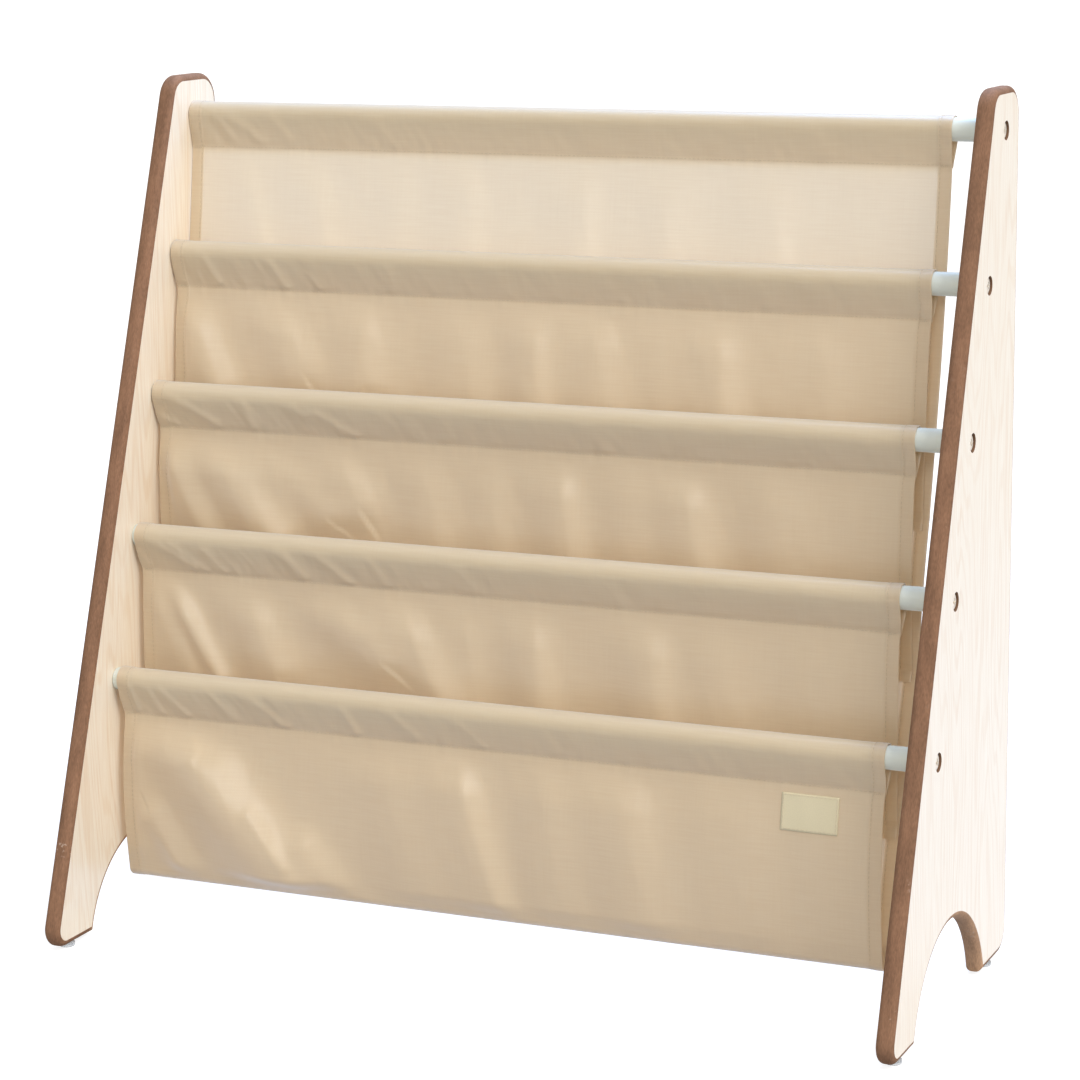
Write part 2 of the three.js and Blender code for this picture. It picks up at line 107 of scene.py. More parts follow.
# A board's face is flat where its normal has at least this much of X
FLAT_FACE = 0.999

# A screw head's rim, from its top edge down: drops as shares of its height, radii as shares of its radius
HEAD_CROWN_SHARE = 0.86
HEAD_RIM_SHARES = ((0.15, 0.97), (0.4, 1.0))
HEAD_SEAT_SHARE = 0.98

# How far a recess slot's corners lie from its axis, at its bottom and its top, as shares of its size
SLOT_BOTTOM_SHARE = 0.45
SLOT_TOP_SHARE = 0.75

# Phase of the printed grain, in radians, over the whole range of its figure: about 30 lines
GRAIN_PHASE = 190

# Over what distance the folds and waves of the cloth rise below its stitch line and end at its seam
WAVES_START = 14 * MM
FOLDS_START = 34 * MM
FOLDS_END = 16 * MM

# How far the bottom pocket's folds run on past its front
BOTTOM_GIVE = 5 * MM

# At a side edge only this share of the folds is left, and over this distance they grow to their full height
HELD_SHARE = 0.3
SIDES_HELD = 16 * MM

# The side edges begin to draw in this share of the sleeve's drop above its stitch line
DRAWN_FROM_SHARE = 0.6

# The crumpled face of a sleeve: how far above the stitch line it begins, and how it fades in and out
SLEEVE_FACE = 30 * MM
SLEEVE_FACE_START = 12 * MM
SLEEVE_FACE_END = 3 * MM

# Its crumples slant, and towards the right they lose this share of their height
SLEEVE_SLANT = 0.55
SMOOTHER_AT_RIGHT = 0.25
SMOOTHING_RATE = 1.6

# Chance waves: height, width across and run down in millimetres, and layer of the noise
HANGING_WAVES = ((1.2, 55, 190, 0), (0.5, 21, 90, 5))
SLANTED_WAVE = (0.2, 9, 34, 7)
WAVE_SLANT = 0.4
RUMPLE = (0.6, 12, 34, 9)
CRUMPLE = (0.6, 8, 22, 4)
CRUMPLE_LEVEL = 0.3
BACK_SEED = 41
POCKET_SEEDS = (11, 18, 25, 32)

# How far a turned hem stands proud and how far its stitches sink in, and over what width
HEM_PROUD = 0.35 * MM
HEM_EDGE = 1.2 * MM
HEM_STITCH_INSET = 1.5 * MM
HEM_STITCH_DEPTH = 0.25 * MM
HEM_STITCH_WIDTH = 1.1 * MM

# Puckers along a stitch line
GROOVE_WIDTH = 2.2 * MM
PUCKER_HEIGHT = 0.5 * MM
PUCKER_LENGTH = 5.5 * MM
PUCKER_REACH = 7 * MM

# Where the columns of a sheet lie: even over this share of a hem, then closer, and closer at the left
EVEN_SHARE = 0.7
CLOSE_SHARE = 0.45
LEFT_CLOSER = 1.3

# Stitches: how far their lines stay from the edges, and how they lie on the cloth
STITCH_END = 2 * MM
SEAM_END = 1 * MM
SEWN_FACE = 50 * MM
LOWER_EDGE_SEWN = 4 * MM
STITCH_LIFT = 0.15 * MM
THREAD_FLATNESS = 0.8
BACK_TACK_LENGTH = 6 * MM
BACK_TACK_PITCH = 1.4 * MM
BACK_TACK_DROP = 1 * MM
LABEL_LIFT = 0.2 * MM
LABEL_STITCH_INSET = 1.4 * MM

# Camera, and the soft suns: which way they shine and how wide they are
SENSOR_WIDTH = 36
VIEW_DEPTH = 200
KEY_DIRECTION = (-0.85, 0.4, -0.95)
KEY_WIDTH = math.radians(35)
FRONT_DIRECTION = (-0.2, 0.86, -0.45)
FRONT_WIDTH = math.radians(20)
REAR_LAMP_SIZE = 1.2
REAR_AIM_SHARE = 0.8

# Folds of each pocket, top pocket first, on the flat cloth in millimetres from its left edge and below its
# stitch line: x and y where the crest starts and where it ends, its height, its width to the right and left
POCKET_FOLDS = (
    (
        (5, 8, 35, 70, 6.9, 16, 20),
        (74, 8, 104, 54, 4.8, 17, 24),
        (150, 8, 156, 60, 4.4, 16, 24),
        (225, -6, 248, 118, 3.2, 17, 26),
        (285, -6, 293, 118, 5.2, 13, 24),
        (332, -6, 349, 118, 4.4, 16, 26),
        (377, -6, 385, 118, 2.3, 17, 22),
        (421, -6, 432, 118, 4.8, 14, 26),
        (494, -6, 506, 118, 2.9, 20, 31),
    ),
    (
        (2, 10, 40, 76, 7.8, 14, 15),
        (36, 9, 96, 76, 11.1, 19, 26),
        (76, 8, 136, 54, 5.3, 16, 22),
        (141, 8, 163, 44, 6.2, 16, 24),
        (210, -6, 232, 118, 4.2, 17, 24),
        (262, -6, 276, 118, 3.2, 14, 22),
        (316, -6, 332, 118, 6.4, 14, 26),
        (366, -6, 378, 118, 3.2, 16, 24),
        (406, -6, 431, 118, 6.4, 16, 29),
        (476, -6, 492, 118, 3.0, 20, 31),
        (528, -6, 538, 118, 1.7, 23, 33),
    ),
    (
        (24, 6, 64, 74, 5.0, 8, 7),
        (10, 12, 44, 84, 4.4, 20, 15),
        (81, 6, 110, 64, 6.2, 16, 24),
        (151, 14, 194, 48, 6.2, 16, 22),
        (197, -6, 264, 118, 7.5, 16, 24),
        (254, -6, 271, 118, 3.6, 14, 22),
        (306, -6, 322, 118, 5.7, 14, 26),
        (392, -6, 411, 118, 5.7, 16, 29),
        (446, -6, 458, 118, 3.2, 19, 29),
        (518, -6, 529, 118, 1.7, 23, 33),
    ),
    (
        (42, 12, 136, 110, 14.0, 22, 33),
        (108, 62, 134, 96, 1.7, 6, 5),
        (26, 74, 54, 122, 5.3, 13, 11),
        (150, 84, 172, 114, 4.5, 13, 13),
        (30, 4, 38, 18, 1.3, 4, 6),
        (53, 2, 63, 24, 1.5, 4, 6),
        (12, 20, 14, 96, 1.5, 8, 10),
        (198, -6, 237, 108, 3.9, 23, 33),
        (259, -6, 299, 118, 6.8, 13, 37),
        (382, -6, 407, 116, 5.4, 23, 40),
        (329, -6, 344, 104, 3.2, 17, 26),
        (467, -6, 480, 112, 2.5, 26, 37),
        (536, -6, 543, 104, 1.5, 26, 33),
    ),
)

# Small creases that the rods press into the sleeves, in the same way, above the stitch line
SLEEVE_CREASES = (
    (
        (26, -27, 36, -5, 1.2, 2.6, 5),
        (81, -21, 93, 1, 1.5, 2.6, 5),
        (112, -12, 122, 2, 1.0, 2.6, 5),
        (175, -20, 177, -6, 0.6, 3.5, 6),
        (146, -26, 152, -16, 0.6, 3, 6),
        (300, -22, 306, -8, 0.4, 4, 8),
    ),
    (
        (14, -27, 49, -6, 1.5, 2.8, 5),
        (6, -8, 25, 3, 0.9, 2.4, 4),
        (74, -25, 78, -5, 1.1, 3, 5),
        (107, -29, 124, -16, 1.0, 2.8, 5),
        (132, -19, 161, -2, 1.2, 3, 6),
        (180, -26, 192, -12, 0.6, 3, 6),
        (231, -26, 234, -8, 0.6, 4, 7),
        (340, -20, 350, -6, 0.4, 5, 8),
    ),
    (
        (10, -28, 45, -5, 1.3, 2.6, 5),
        (22, -28, 55, -2, 0.9, 2.4, 4),
        (57, -19, 71, 1, 1.2, 2.8, 5),
        (115, -29, 134, -5, 1.2, 3, 6),
        (141, -28, 172, -1, 1.1, 2.8, 5),
        (189, -22, 200, -1, 0.9, 3, 5),
        (252, -26, 262, -8, 0.5, 4, 7),
        (366, -22, 374, -6, 0.4, 5, 8),
    ),
    (
        (10, -22, 13, 3, 1.0, 2.4, 4),
        (24, -24, 34, 0, 0.9, 2.4, 4),
        (37, -22, 55, -1, 1.2, 2.6, 5),
        (73, -26, 90, -5, 1.1, 2.8, 5),
        (107, -25, 132, -2, 1.3, 3, 6),
        (181, -21, 190, -1, 1.1, 3, 5),
        (213, -28, 234, -6, 1.0, 3.2, 6),
        (269, -21, 286, -1, 0.9, 3.4, 6),
        (330, -26, 340, -8, 0.5, 4, 8),
    ),
)

# Folds and sleeve creases of the back sheet, in the same way
BACK_FOLDS = (
    (44, 6, 66, 100, 2.2, 9, 18),
    (96, 8, 124, 110, 2.0, 12, 20),
    (168, 8, 172, 110, 1.6, 12, 16),
    (222, 8, 230, 120, 2.0, 12, 24),
    (312, 10, 318, 130, 2.2, 11, 24),
    (372, 8, 376, 120, 1.6, 12, 18),
    (452, 10, 462, 130, 2.0, 12, 26),
)
BACK_CREASES = (
    (18, -28, 34, -8, 1.0, 2.6, 4),
    (28, -28, 60, -4, 1.1, 2.8, 5),
    (66, -24, 82, -6, 0.8, 3, 5),
    (150, -22, 166, -3, 0.6, 4, 6),
    (480, -20, 490, -4, 0.5, 5, 7),
)


def linear(hex_colour):
    """Turn an sRGB hex colour to linear red, green and blue."""
    shares = (int(hex_colour[start : start + 2], 16) / 255 for start in (1, 3, 5))
    return [s / 12.92 if s <= 0.04045 else ((s + 0.055) / 1.055) ** 2.4 for s in shares]


def length(name, description, default):
    """A setting in metres."""
    return bpy.props.FloatProperty(
        name=name, description=description, default=default, unit="LENGTH", precision=4
    )


def colour(name, description, hex_colour):
    """A colour setting."""
    return bpy.props.FloatVectorProperty(
        name=name, description=description, default=linear(hex_colour), subtype="COLOR", min=0, max=1
    )


class BoardSettings(bpy.types.PropertyGroup):
    """Sizes and colours of the side boards."""

    top_depth: length("Top depth", "Depth of the top edge, front to rear, to its sharp corners", 0.061)
    foot_depth: length("Foot depth", "Depth at the floor, front to rear, to its sharp corners", 0.266)
    top_front_radius: length("Top front radius", "Radius of the top corner in front", 0.018)
    top_rear_radius: length("Top rear radius", "Radius of the top corner at the rear", 0.020)
    nose_radius: length("Nose radius", "Radius of the foot's corner in front", 0.013)
    heel_radius: length("Heel radius", "Radius of the foot's corner at the rear", 0.018)
    rear_foot: length("Rear foot", "Width of the foot behind the arch", 0.060)
    front_foot: length("Front foot", "Width of the foot in front of the arch", 0.054)
    arch_rise: length("Arch rise", "Height of the arch between the feet", 0.059)
    edge_rounding: length("Edge rounding", "Radius along the board's edges", 0.0044)
    counterbore: length("Counterbore", "Diameter of the recess round a screw's head", 0.013)
    counterbore_depth: length("Counterbore depth", "Depth of the recess round a screw's head", 0.0036)
    screw_hole: length("Screw hole", "Diameter of the hole for a screw's shank", 0.0066)
    peg_hole: length("Peg hole", "Diameter of the hole for a glide's peg", 0.0046)
    peg_hole_depth: length("Peg hole depth", "Depth of the hole for a glide's peg", 0.0103)
    face_colour: colour("Face colour", "Palest part of the printed grain", "#F8ECD7")
    grain_colour: colour("Grain colour", "Darkest lines of the printed grain", "#DEB98C")
    edge_colour: colour("Edge colour", "Brown stain along the edges", "#8B674E")
    chip_colour: colour("Chip colour", "Small knocks where the stain has gone", "#B99E89")
    # Painted light: these factors make the edge colour paler in the arch, standing in for light from the
    # floor
    arch_painted_light: bpy.props.FloatVectorProperty(
        name="Arch paler",
        description="How many times paler the stain is in the arch",
        default=(1.75, 2.0, 2.1),
        min=1,
    )
    core_colour: colour("Core colour", "Cut fibreboard inside the screw recesses", "#77583F")


class FittingSettings(bpy.types.PropertyGroup):
    """Sizes and colours of the rods, screws, inserts and glides."""

    rod_wall: length("Rod wall", "Thickness of a rod's wall", 0.0012)
    rod_chamfer: length("Rod chamfer", "Small chamfer at the ends of a rod", 0.0003)
    head_height: length("Head height", "Height of a screw's head", 0.0024)
    head_dome: length("Head dome", "Rise of a screw head's crown", 0.0004)
    shank: length("Shank", "Diameter of a screw's shank", 0.006)
    recess_reach: length("Recess reach", "Length of one slot of the cross recess", 0.0062)
    recess_width: length("Recess width", "Width of one slot of the cross recess", 0.0022)
    recess_depth: length("Recess depth", "Depth of the cross recess", 0.0021)
    glide_height: length("Glide height", "Height of a glide's disc", 0.0027)
    glide_rounding: length("Glide rounding", "Radius of a glide's lower rim", 0.0009)
    peg: length("Peg", "Diameter of a glide's peg", 0.004)
    rod_colour: colour("Rod colour", "White powder coat", "#DFE4D9")
    screw_colour: colour("Screw colour", "Zinc plating", "#E6DDCF")
    insert_colour: colour("Insert colour", "Natural moulded nylon", "#DAD6CA")
    glide_colour: colour("Glide colour", "Clear polyethylene", "#D9DCDF")


class ClothSettings(bpy.types.PropertyGroup):
    """Sizes and colours of the sling's cloth and thread."""

    width: length("Width", "Finished width of the cloth", 0.5735)
    left_gaps: bpy.props.FloatVectorProperty(
        name="Left gaps",
        description="Gap from the left board to each sheet of cloth, top sheet first",
        size=5,
        default=(0.0006, 0.0013, 0.0016, 0.003, 0.0047),
        unit="LENGTH",
    )
    back_extra: length("Back extra", "How much wider the back sheet is than the pockets", 0.003)
    draw_in: length("Draw-in", "How far a pocket's side edges are drawn in below its sleeve", 0.002)
    back_draw_in: length("Back draw-in", "How far the back sheet's side edges are drawn in", 0.0002)
    sleeve_radius: length("Sleeve radius", "Radius of the cloth round a rod", 0.009)
    sleeve_drop: length("Sleeve drop", "From a rod's axis down to the stitch line", 0.024)
    sleeve_gap: length("Sleeve gap", "From the middle of a stitch line to each layer", 0.0009)
    flap: length("Flap", "Sleeve's turned edge below its stitch line", 0.0015)
    pocket_drop: length("Pocket drop", "From a rod's axis down to its pocket's seam", 0.156)
    bottom_drop: length("Bottom drop", "From the lowest rod's axis down to the bottom fold", 0.146)
    fold_radius: length("Fold radius", "Radius of the fold under the bottom pocket", 0.007)
    fold_setback: length("Fold setback", "How far the bottom fold lies behind its rod", 0.004)
    first_seam_lead: length("First seam lead", "How far the top seam lies in front of its rod", 0.013)
    seam_gap: length("Seam gap", "From the back sheet to a pocket's lower edge", 0.0015)
    seam_allowance: length("Seam allowance", "Cloth below a seam", 0.008)
    hem: length("Hem", "Width of the side hems", 0.0095)
    hem_turn: length("Hem turn", "Radius that a hem is turned round", 0.0003)
    groove: length("Groove", "How far a stitch line pulls the cloth in", 0.0003)
    back_bows: bpy.props.FloatVectorProperty(
        name="Back bows",
        description="Bow to the front of each stretch of the back sheet, top first",
        size=4,
        default=(-0.004, 0.0025, 0.0015, 0.0005),
        unit="LENGTH",
    )
    pocket_bows: bpy.props.FloatVectorProperty(
        name="Pocket bows",
        description="Bow to the front of each pocket, top first",
        size=4,
        default=(0.002, 0.004, 0.0025, 0.005),
        unit="LENGTH",
    )
    thread: length("Thread", "Thickness of the sewing thread", 0.00036)
    stitch: length("Stitch", "Length of one stitch", 0.0026)
    stitch_pitch: length("Stitch pitch", "From one stitch to the next", 0.0032)
    label_width: length("Label width", "Width of the blank label", 0.040)
    label_height: length("Label height", "Height of the blank label", 0.025)
    label_thickness: length("Label thickness", "Thickness of the blank label", 0.0004)
    label_from_right: length("Label from right", "From the cloth's right edge to the label", 0.030)
    label_below_stitch: length("Label below stitch", "From the stitch line down to the label", 0.006)
    cloth_colour: colour("Cloth colour", "Woven polyester", "#DDCDAC")
    slub_colour: colour("Slub colour", "Darker yarns of the cloth", "#D7C4A1")
    thread_colour: colour("Thread colour", "Sewing thread", "#D6C4A4")
    through_colour: colour("Through colour", "Light that comes through one layer", "#F7DFC4")
    label_colour: colour("Label colour", "Woven cotton tape", "#E2D5B1")


class StageSettings(bpy.types.PropertyGroup):
    """Camera, floor and light."""

    camera_place: bpy.props.FloatVectorProperty(
        name="Camera place",
        description="Where the camera stands",
        default=(0.88642, -1.95996, 0.73628),
        subtype="TRANSLATION",
        unit="LENGTH",
    )
    camera_yaw: bpy.props.FloatProperty(
        name="Camera yaw", description="Turn to the left of straight ahead", default=0.41758, subtype="ANGLE"
    )
    camera_pitch: bpy.props.FloatProperty(
        name="Camera pitch", description="Tilt down from level", default=0.18973, subtype="ANGLE"
    )
    camera_roll: bpy.props.FloatProperty(
        name="Camera roll", description="Turn about the view", default=-0.0107, subtype="ANGLE"
    )
    lens: bpy.props.FloatProperty(
        name="Lens", description="Focal length on a 36 mm sensor", default=106.782, unit="CAMERA"
    )
    shift: bpy.props.FloatProperty(
        name="Shift", description="Vertical lens shift, as a share of the frame", default=-0.037
    )
    floor_size: length("Floor size", "Side of the square floor", 120.0)
    floor_colour: colour("Floor colour", "Matt floor", "#A8A8A8")
    floor_glow: bpy.props.FloatProperty(
        name="Floor glow", description="Light of its own with which the floor is seen", default=0.8, min=0
    )
    sky_strength: bpy.props.FloatProperty(
        name="Sky strength", description="Even light from all round", default=0.555, min=0
    )
    key_strength: bpy.props.FloatProperty(
        name="Key strength", description="Soft light from the right", default=1.89, min=0
    )
    key_colour: colour("Key colour", "Daylight from the right", "#FFFDFC")
    front_strength: bpy.props.FloatProperty(
        name="Front strength", description="Soft light from the front", default=0.6, min=0
    )
    front_colour: colour("Front colour", "Daylight from the front", "#F8FAFF")
    rear_strength: bpy.props.FloatProperty(
        name="Rear strength",
        description="Power of the soft light above and behind",
        default=40,
        min=0,
        unit="POWER",
    )
    rear_colour: colour("Rear colour", "Daylight above and behind", "#98C2FF")
    rear_place: bpy.props.FloatVectorProperty(
        name="Rear place",
        description="Where the soft light above and behind hangs",
        default=(0.15, 0.75, 1.9),
        subtype="TRANSLATION",
        unit="LENGTH",
    )


# Nodes and materials

# The scale of a noise is a count per millimetre, so 0.9 / MM has a feature about every 1.1 mm.


def add_node(tree, kind, settings=None, inputs=None):
    """Add a node with its settings; an input takes a value or the socket that feeds it."""
    node = tree.nodes.new(kind)
    for name, value in (settings or {}).items():
        setattr(node, name, value)
    for key, value in (inputs or {}).items():
        if isinstance(value, bpy.types.NodeSocket):
            tree.links.new(value, node.inputs[key])
        else:
            node.inputs[key].default_value = value
    return node


def opaque(rgb):
    """A colour with full alpha."""
    return (*rgb, 1.0)


def new_material(name):
    """A material with nothing in it but its output."""
    material = bpy.data.materials.new(name)
    material.use_nodes = True
    material.node_tree.nodes.clear()
    output = material.node_tree.nodes.new("ShaderNodeOutputMaterial")
    return material, material.node_tree, output.inputs["Surface"]


def grain_of_paper_print(tree, board):
    """Pale grain: ring lines 3 to 9 mm apart that close in long arches, streaks 1 mm apart and fine pores."""
    place = add_node(tree, "ShaderNodeTexCoord").outputs["Object"]
    along = add_node(tree, "ShaderNodeMapping", inputs={"Vector": place, "Scale": (1, 1, 0.025)})
    heart = add_node(tree, "ShaderNodeMapping", inputs={"Vector": place, "Scale": (0.25, 1, 0.1)})
    figure = add_node(
        tree,
        "ShaderNodeTexNoise",
        inputs={"Vector": heart.outputs[0], "Scale": 0.017 / MM, "Detail": 2.5, "Roughness": 0.4},
    )
    ring = add_node(
        tree, "ShaderNodeMath", {"operation": "MULTIPLY"}, {0: figure.outputs["Fac"], 1: GRAIN_PHASE}
    )
    wave = add_node(tree, "ShaderNodeMath", {"operation": "SINE"}, {0: ring.outputs[0]})
    late_wood = add_node(
        tree,
        "ShaderNodeMapRange",
        {"interpolation_type": "SMOOTHSTEP"},
        {"Value": wave.outputs[0], "From Min": 0.1},
    ).outputs[0]
    streaks = add_node(
        tree,
        "ShaderNodeTexNoise",
        inputs={"Vector": along.outputs[0], "Scale": 0.9 / MM, "Detail": 4, "Roughness": 0.7},
    )
    broad = add_node(
        tree, "ShaderNodeTexNoise", inputs={"Vector": along.outputs[0], "Scale": 0.06 / MM, "Detail": 3}
    )
    pores = add_node(
        tree, "ShaderNodeTexNoise", inputs={"Vector": along.outputs[0], "Scale": 1.7 / MM, "Detail": 2}
    )
    lined = add_node(
        tree, "ShaderNodeMath", {"operation": "MULTIPLY"}, {0: late_wood, 1: broad.outputs["Fac"]}
    ).outputs[0]
    darkness = add_node(
        tree, "ShaderNodeMath", {"operation": "MULTIPLY_ADD"}, {0: lined, 1: 0.3, 2: streaks.outputs["Fac"]}
    )
    share = add_node(
        tree,
        "ShaderNodeMapRange",
        inputs={"Value": darkness.outputs[0], "From Min": 0.36, "From Max": 0.92, "To Max": 0.6},
    )
    mixed = add_node(
        tree,
        "ShaderNodeMix",
        {"data_type": "RGBA"},
        {0: share.outputs[0], 6: opaque(board.face_colour), 7: opaque(board.grain_colour)},
    )
    return mixed.outputs[2], pores.outputs["Fac"]


def printed_board_material(board):
    """Fibreboard faced with printed, sealed paper: pale maple grain under a satin film."""
    material, tree, surface = new_material("printed_maple_foil")
    grain, pores = grain_of_paper_print(tree, board)
    bump = add_node(tree, "ShaderNodeBump", inputs={"Height": pores, "Strength": 0.15, "Distance": 0.05 * MM})
    shader = add_node(
        tree,
        "ShaderNodeBsdfPrincipled",
        inputs={
            "Base Color": grain,
            "Roughness": 0.42,
            "IOR": 1.5,
            "Coat Weight": 0.6,
            "Coat Roughness": 0.25,
            "Normal": bump.outputs[0],
        },
    )
    tree.links.new(shader.outputs[0], surface)
    return material


def inside_arch(tree, place, board):
    """1 on the arch between the feet, where the edge gets painted light, 0 on the board's other edges."""
    centre, radius = arch_circle(board, *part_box("side_panel_left"))
    side_on = add_node(tree, "ShaderNodeVectorMath", {"operation": "MULTIPLY"}, {0: place, 1: (0, 1, 1)})
    away = add_node(
        tree,
        "ShaderNodeVectorMath",
        {"operation": "DISTANCE"},
        {0: side_on.outputs[0], 1: (0, centre.y, centre.z)},
    )
    return add_node(
        tree,
        "ShaderNodeMapRange",
        inputs={
            "Value": away.outputs["Value"],
            "From Min": radius + board.edge_rounding + 2 * MM,
            "From Max": radius + board.edge_rounding,
        },
    ).outputs[0]


def stained_edge_material(board):
    """Routed fibreboard edge under a brown matt stain: cloudy, with a few pale chips; in the arch it is
    painted paler as painted light.
    """
    material, tree, surface = new_material("brown_stained_fibreboard_edge")
    place = add_node(tree, "ShaderNodeTexCoord").outputs["Object"]
    along = add_node(tree, "ShaderNodeMapping", inputs={"Vector": place, "Scale": (1, 0.4, 0.2)})
    clouds = add_node(
        tree, "ShaderNodeTexNoise", inputs={"Vector": along.outputs[0], "Scale": 0.15 / MM, "Detail": 4}
    )
    fibre = add_node(
        tree, "ShaderNodeTexNoise", inputs={"Vector": along.outputs[0], "Scale": 1.5 / MM, "Detail": 3}
    )
    both = add_node(
        tree,
        "ShaderNodeMath",
        {"operation": "MULTIPLY_ADD"},
        {0: fibre.outputs["Fac"], 1: 0.9, 2: clouds.outputs["Fac"]},
    )
    share = add_node(
        tree, "ShaderNodeMapRange", inputs={"Value": both.outputs[0], "From Min": 0.65, "From Max": 1.25}
    )
    dark = [channel * 0.72 for channel in board.edge_colour]
    pale = [channel * 1.28 for channel in board.edge_colour]
    stained = add_node(
        tree, "ShaderNodeMix", {"data_type": "RGBA"}, {0: share.outputs[0], 6: opaque(dark), 7: opaque(pale)}
    )
    # Painted light: the edge is made paler in the arch, standing in for light bounced up from the floor
    stain_with_painted_arch_light = add_node(
        tree,
        "ShaderNodeMix",
        {"data_type": "RGBA", "blend_type": "MULTIPLY"},
        {0: inside_arch(tree, place, board), 6: stained.outputs[2], 7: opaque(board.arch_painted_light)},
    )
    specks = add_node(tree, "ShaderNodeTexNoise", inputs={"Vector": place, "Scale": 0.33 / MM, "Detail": 2})
    patches = add_node(tree, "ShaderNodeTexNoise", inputs={"Vector": place, "Scale": 0.038 / MM, "Detail": 1})
    chipped = add_node(
        tree, "ShaderNodeMapRange", inputs={"Value": specks.outputs["Fac"], "From Min": 0.6, "From Max": 0.7}
    )
    where = add_node(
        tree,
        "ShaderNodeMapRange",
        inputs={"Value": patches.outputs["Fac"], "From Min": 0.64, "From Max": 0.72},
    )
    chips = add_node(
        tree, "ShaderNodeMath", {"operation": "MULTIPLY"}, {0: chipped.outputs[0], 1: where.outputs[0]}
    )
    height = add_node(tree, "ShaderNodeSeparateXYZ", inputs={0: place}).outputs["Z"]
    low_down = add_node(
        tree, "ShaderNodeMapRange", inputs={"Value": height, "From Min": 0.2, "From Max": 0.08, "To Min": 0.1}
    )
    knocks = add_node(
        tree, "ShaderNodeMath", {"operation": "MULTIPLY"}, {0: chips.outputs[0], 1: low_down.outputs[0]}
    )
    mixed = add_node(
        tree,
        "ShaderNodeMix",
        {"data_type": "RGBA"},
        {0: knocks.outputs[0], 6: stain_with_painted_arch_light.outputs[2], 7: opaque(board.chip_colour)},
    )
    bump = add_node(
        tree,
        "ShaderNodeBump",
        inputs={"Height": fibre.outputs["Fac"], "Strength": 0.35, "Distance": 0.12 * MM},
    )
    shader = add_node(
        tree,
        "ShaderNodeBsdfPrincipled",
        inputs={
            "Base Color": mixed.outputs[2],
            "Roughness": 0.75,
            "Specular IOR Level": 0.12,
            "Normal": bump.outputs[0],
        },
    )
    tree.links.new(shader.outputs[0], surface)
    return material


def cut_core_material(board):
    """Fibreboard cut by a drill: fuzzy brown fibre a few tenths of a millimetre across."""
    material, tree, surface = new_material("drilled_fibreboard_core")
    place = add_node(tree, "ShaderNodeTexCoord").outputs["Object"]
    fibre = add_node(tree, "ShaderNodeTexNoise", inputs={"Vector": place, "Scale": 2.6 / MM, "Detail": 4})
    mixed = add_node(
        tree,
        "ShaderNodeMix",
        {"data_type": "RGBA"},
        {
            0: fibre.outputs["Fac"],
            6: opaque([channel * 0.7 for channel in board.core_colour]),
            7: opaque([channel * 1.3 for channel in board.core_colour]),
        },
    )
    bump = add_node(
        tree,
        "ShaderNodeBump",
        inputs={"Height": fibre.outputs["Fac"], "Strength": 0.6, "Distance": 0.15 * MM},
    )
    shader = add_node(
        tree,
        "ShaderNodeBsdfPrincipled",
        inputs={"Base Color": mixed.outputs[2], "Roughness": 0.9, "Normal": bump.outputs[0]},
    )
    tree.links.new(shader.outputs[0], surface)
    return material


def moulded_or_coated_material(name, rgb, grit, depth, **constants):
    """A single-coloured finish whose skin has a fine texture: grit is its spacing and depth its height."""
    material, tree, surface = new_material(name)
    place = add_node(tree, "ShaderNodeTexCoord").outputs["Object"]
    skin = add_node(tree, "ShaderNodeTexNoise", inputs={"Vector": place, "Scale": 1 / grit, "Detail": 3})
    shade = add_node(
        tree,
        "ShaderNodeMix",
        {"data_type": "RGBA"},
        {0: skin.outputs["Fac"], 6: opaque([channel * 0.94 for channel in rgb]), 7: opaque(rgb)},
    )
    bump = add_node(
        tree, "ShaderNodeBump", inputs={"Height": skin.outputs["Fac"], "Strength": 0.3, "Distance": depth}
    )
    shader = add_node(
        tree,
        "ShaderNodeBsdfPrincipled",
        inputs={"Base Color": shade.outputs[2], "Normal": bump.outputs[0], **constants},
    )
    tree.links.new(shader.outputs[0], surface)
    return material


def yarn_relief(tree, flat, repeat):
    """Height of a plain weave on the flat cloth; it repeats every second thread, at this distance."""
    axes = add_node(tree, "ShaderNodeSeparateXYZ", inputs={0: flat})
    waves = []
    for axis in ("X", "Y"):
        phase = add_node(
            tree, "ShaderNodeMath", {"operation": "MULTIPLY"}, {0: axes.outputs[axis], 1: math.tau / repeat}
        )
        wave = add_node(tree, "ShaderNodeMath", {"operation": "SINE"}, {0: phase.outputs[0]})
        waves.append(wave.outputs[0])
    return add_node(tree, "ShaderNodeMath", {"operation": "MULTIPLY"}, {0: waves[0], 1: waves[1]}).outputs[0]


def slub_shade(tree, flat):
    """How dark the yarns run: long thin slubs along the weft and fainter ones along the warp."""
    weft = add_node(tree, "ShaderNodeMapping", inputs={"Vector": flat, "Scale": (0.035 / MM, 0.9 / MM, 1)})
    warp = add_node(tree, "ShaderNodeMapping", inputs={"Vector": flat, "Scale": (0.7 / MM, 0.022 / MM, 1)})
    across, down = (
        add_node(
            tree,
            "ShaderNodeTexNoise",
            {"noise_dimensions": "2D"},
            {"Vector": yarns.outputs[0], "Scale": 1, "Detail": detail},
        )
        for yarns, detail in ((weft, 3), (warp, 2))
    )
    both = add_node(
        tree,
        "ShaderNodeMath",
        {"operation": "MULTIPLY_ADD"},
        {0: down.outputs["Fac"], 1: 0.4, 2: across.outputs["Fac"]},
    )
    return add_node(
        tree, "ShaderNodeMapRange", inputs={"Value": both.outputs[0], "From Min": 0.45, "From Max": 1.0}
    ).outputs[0]


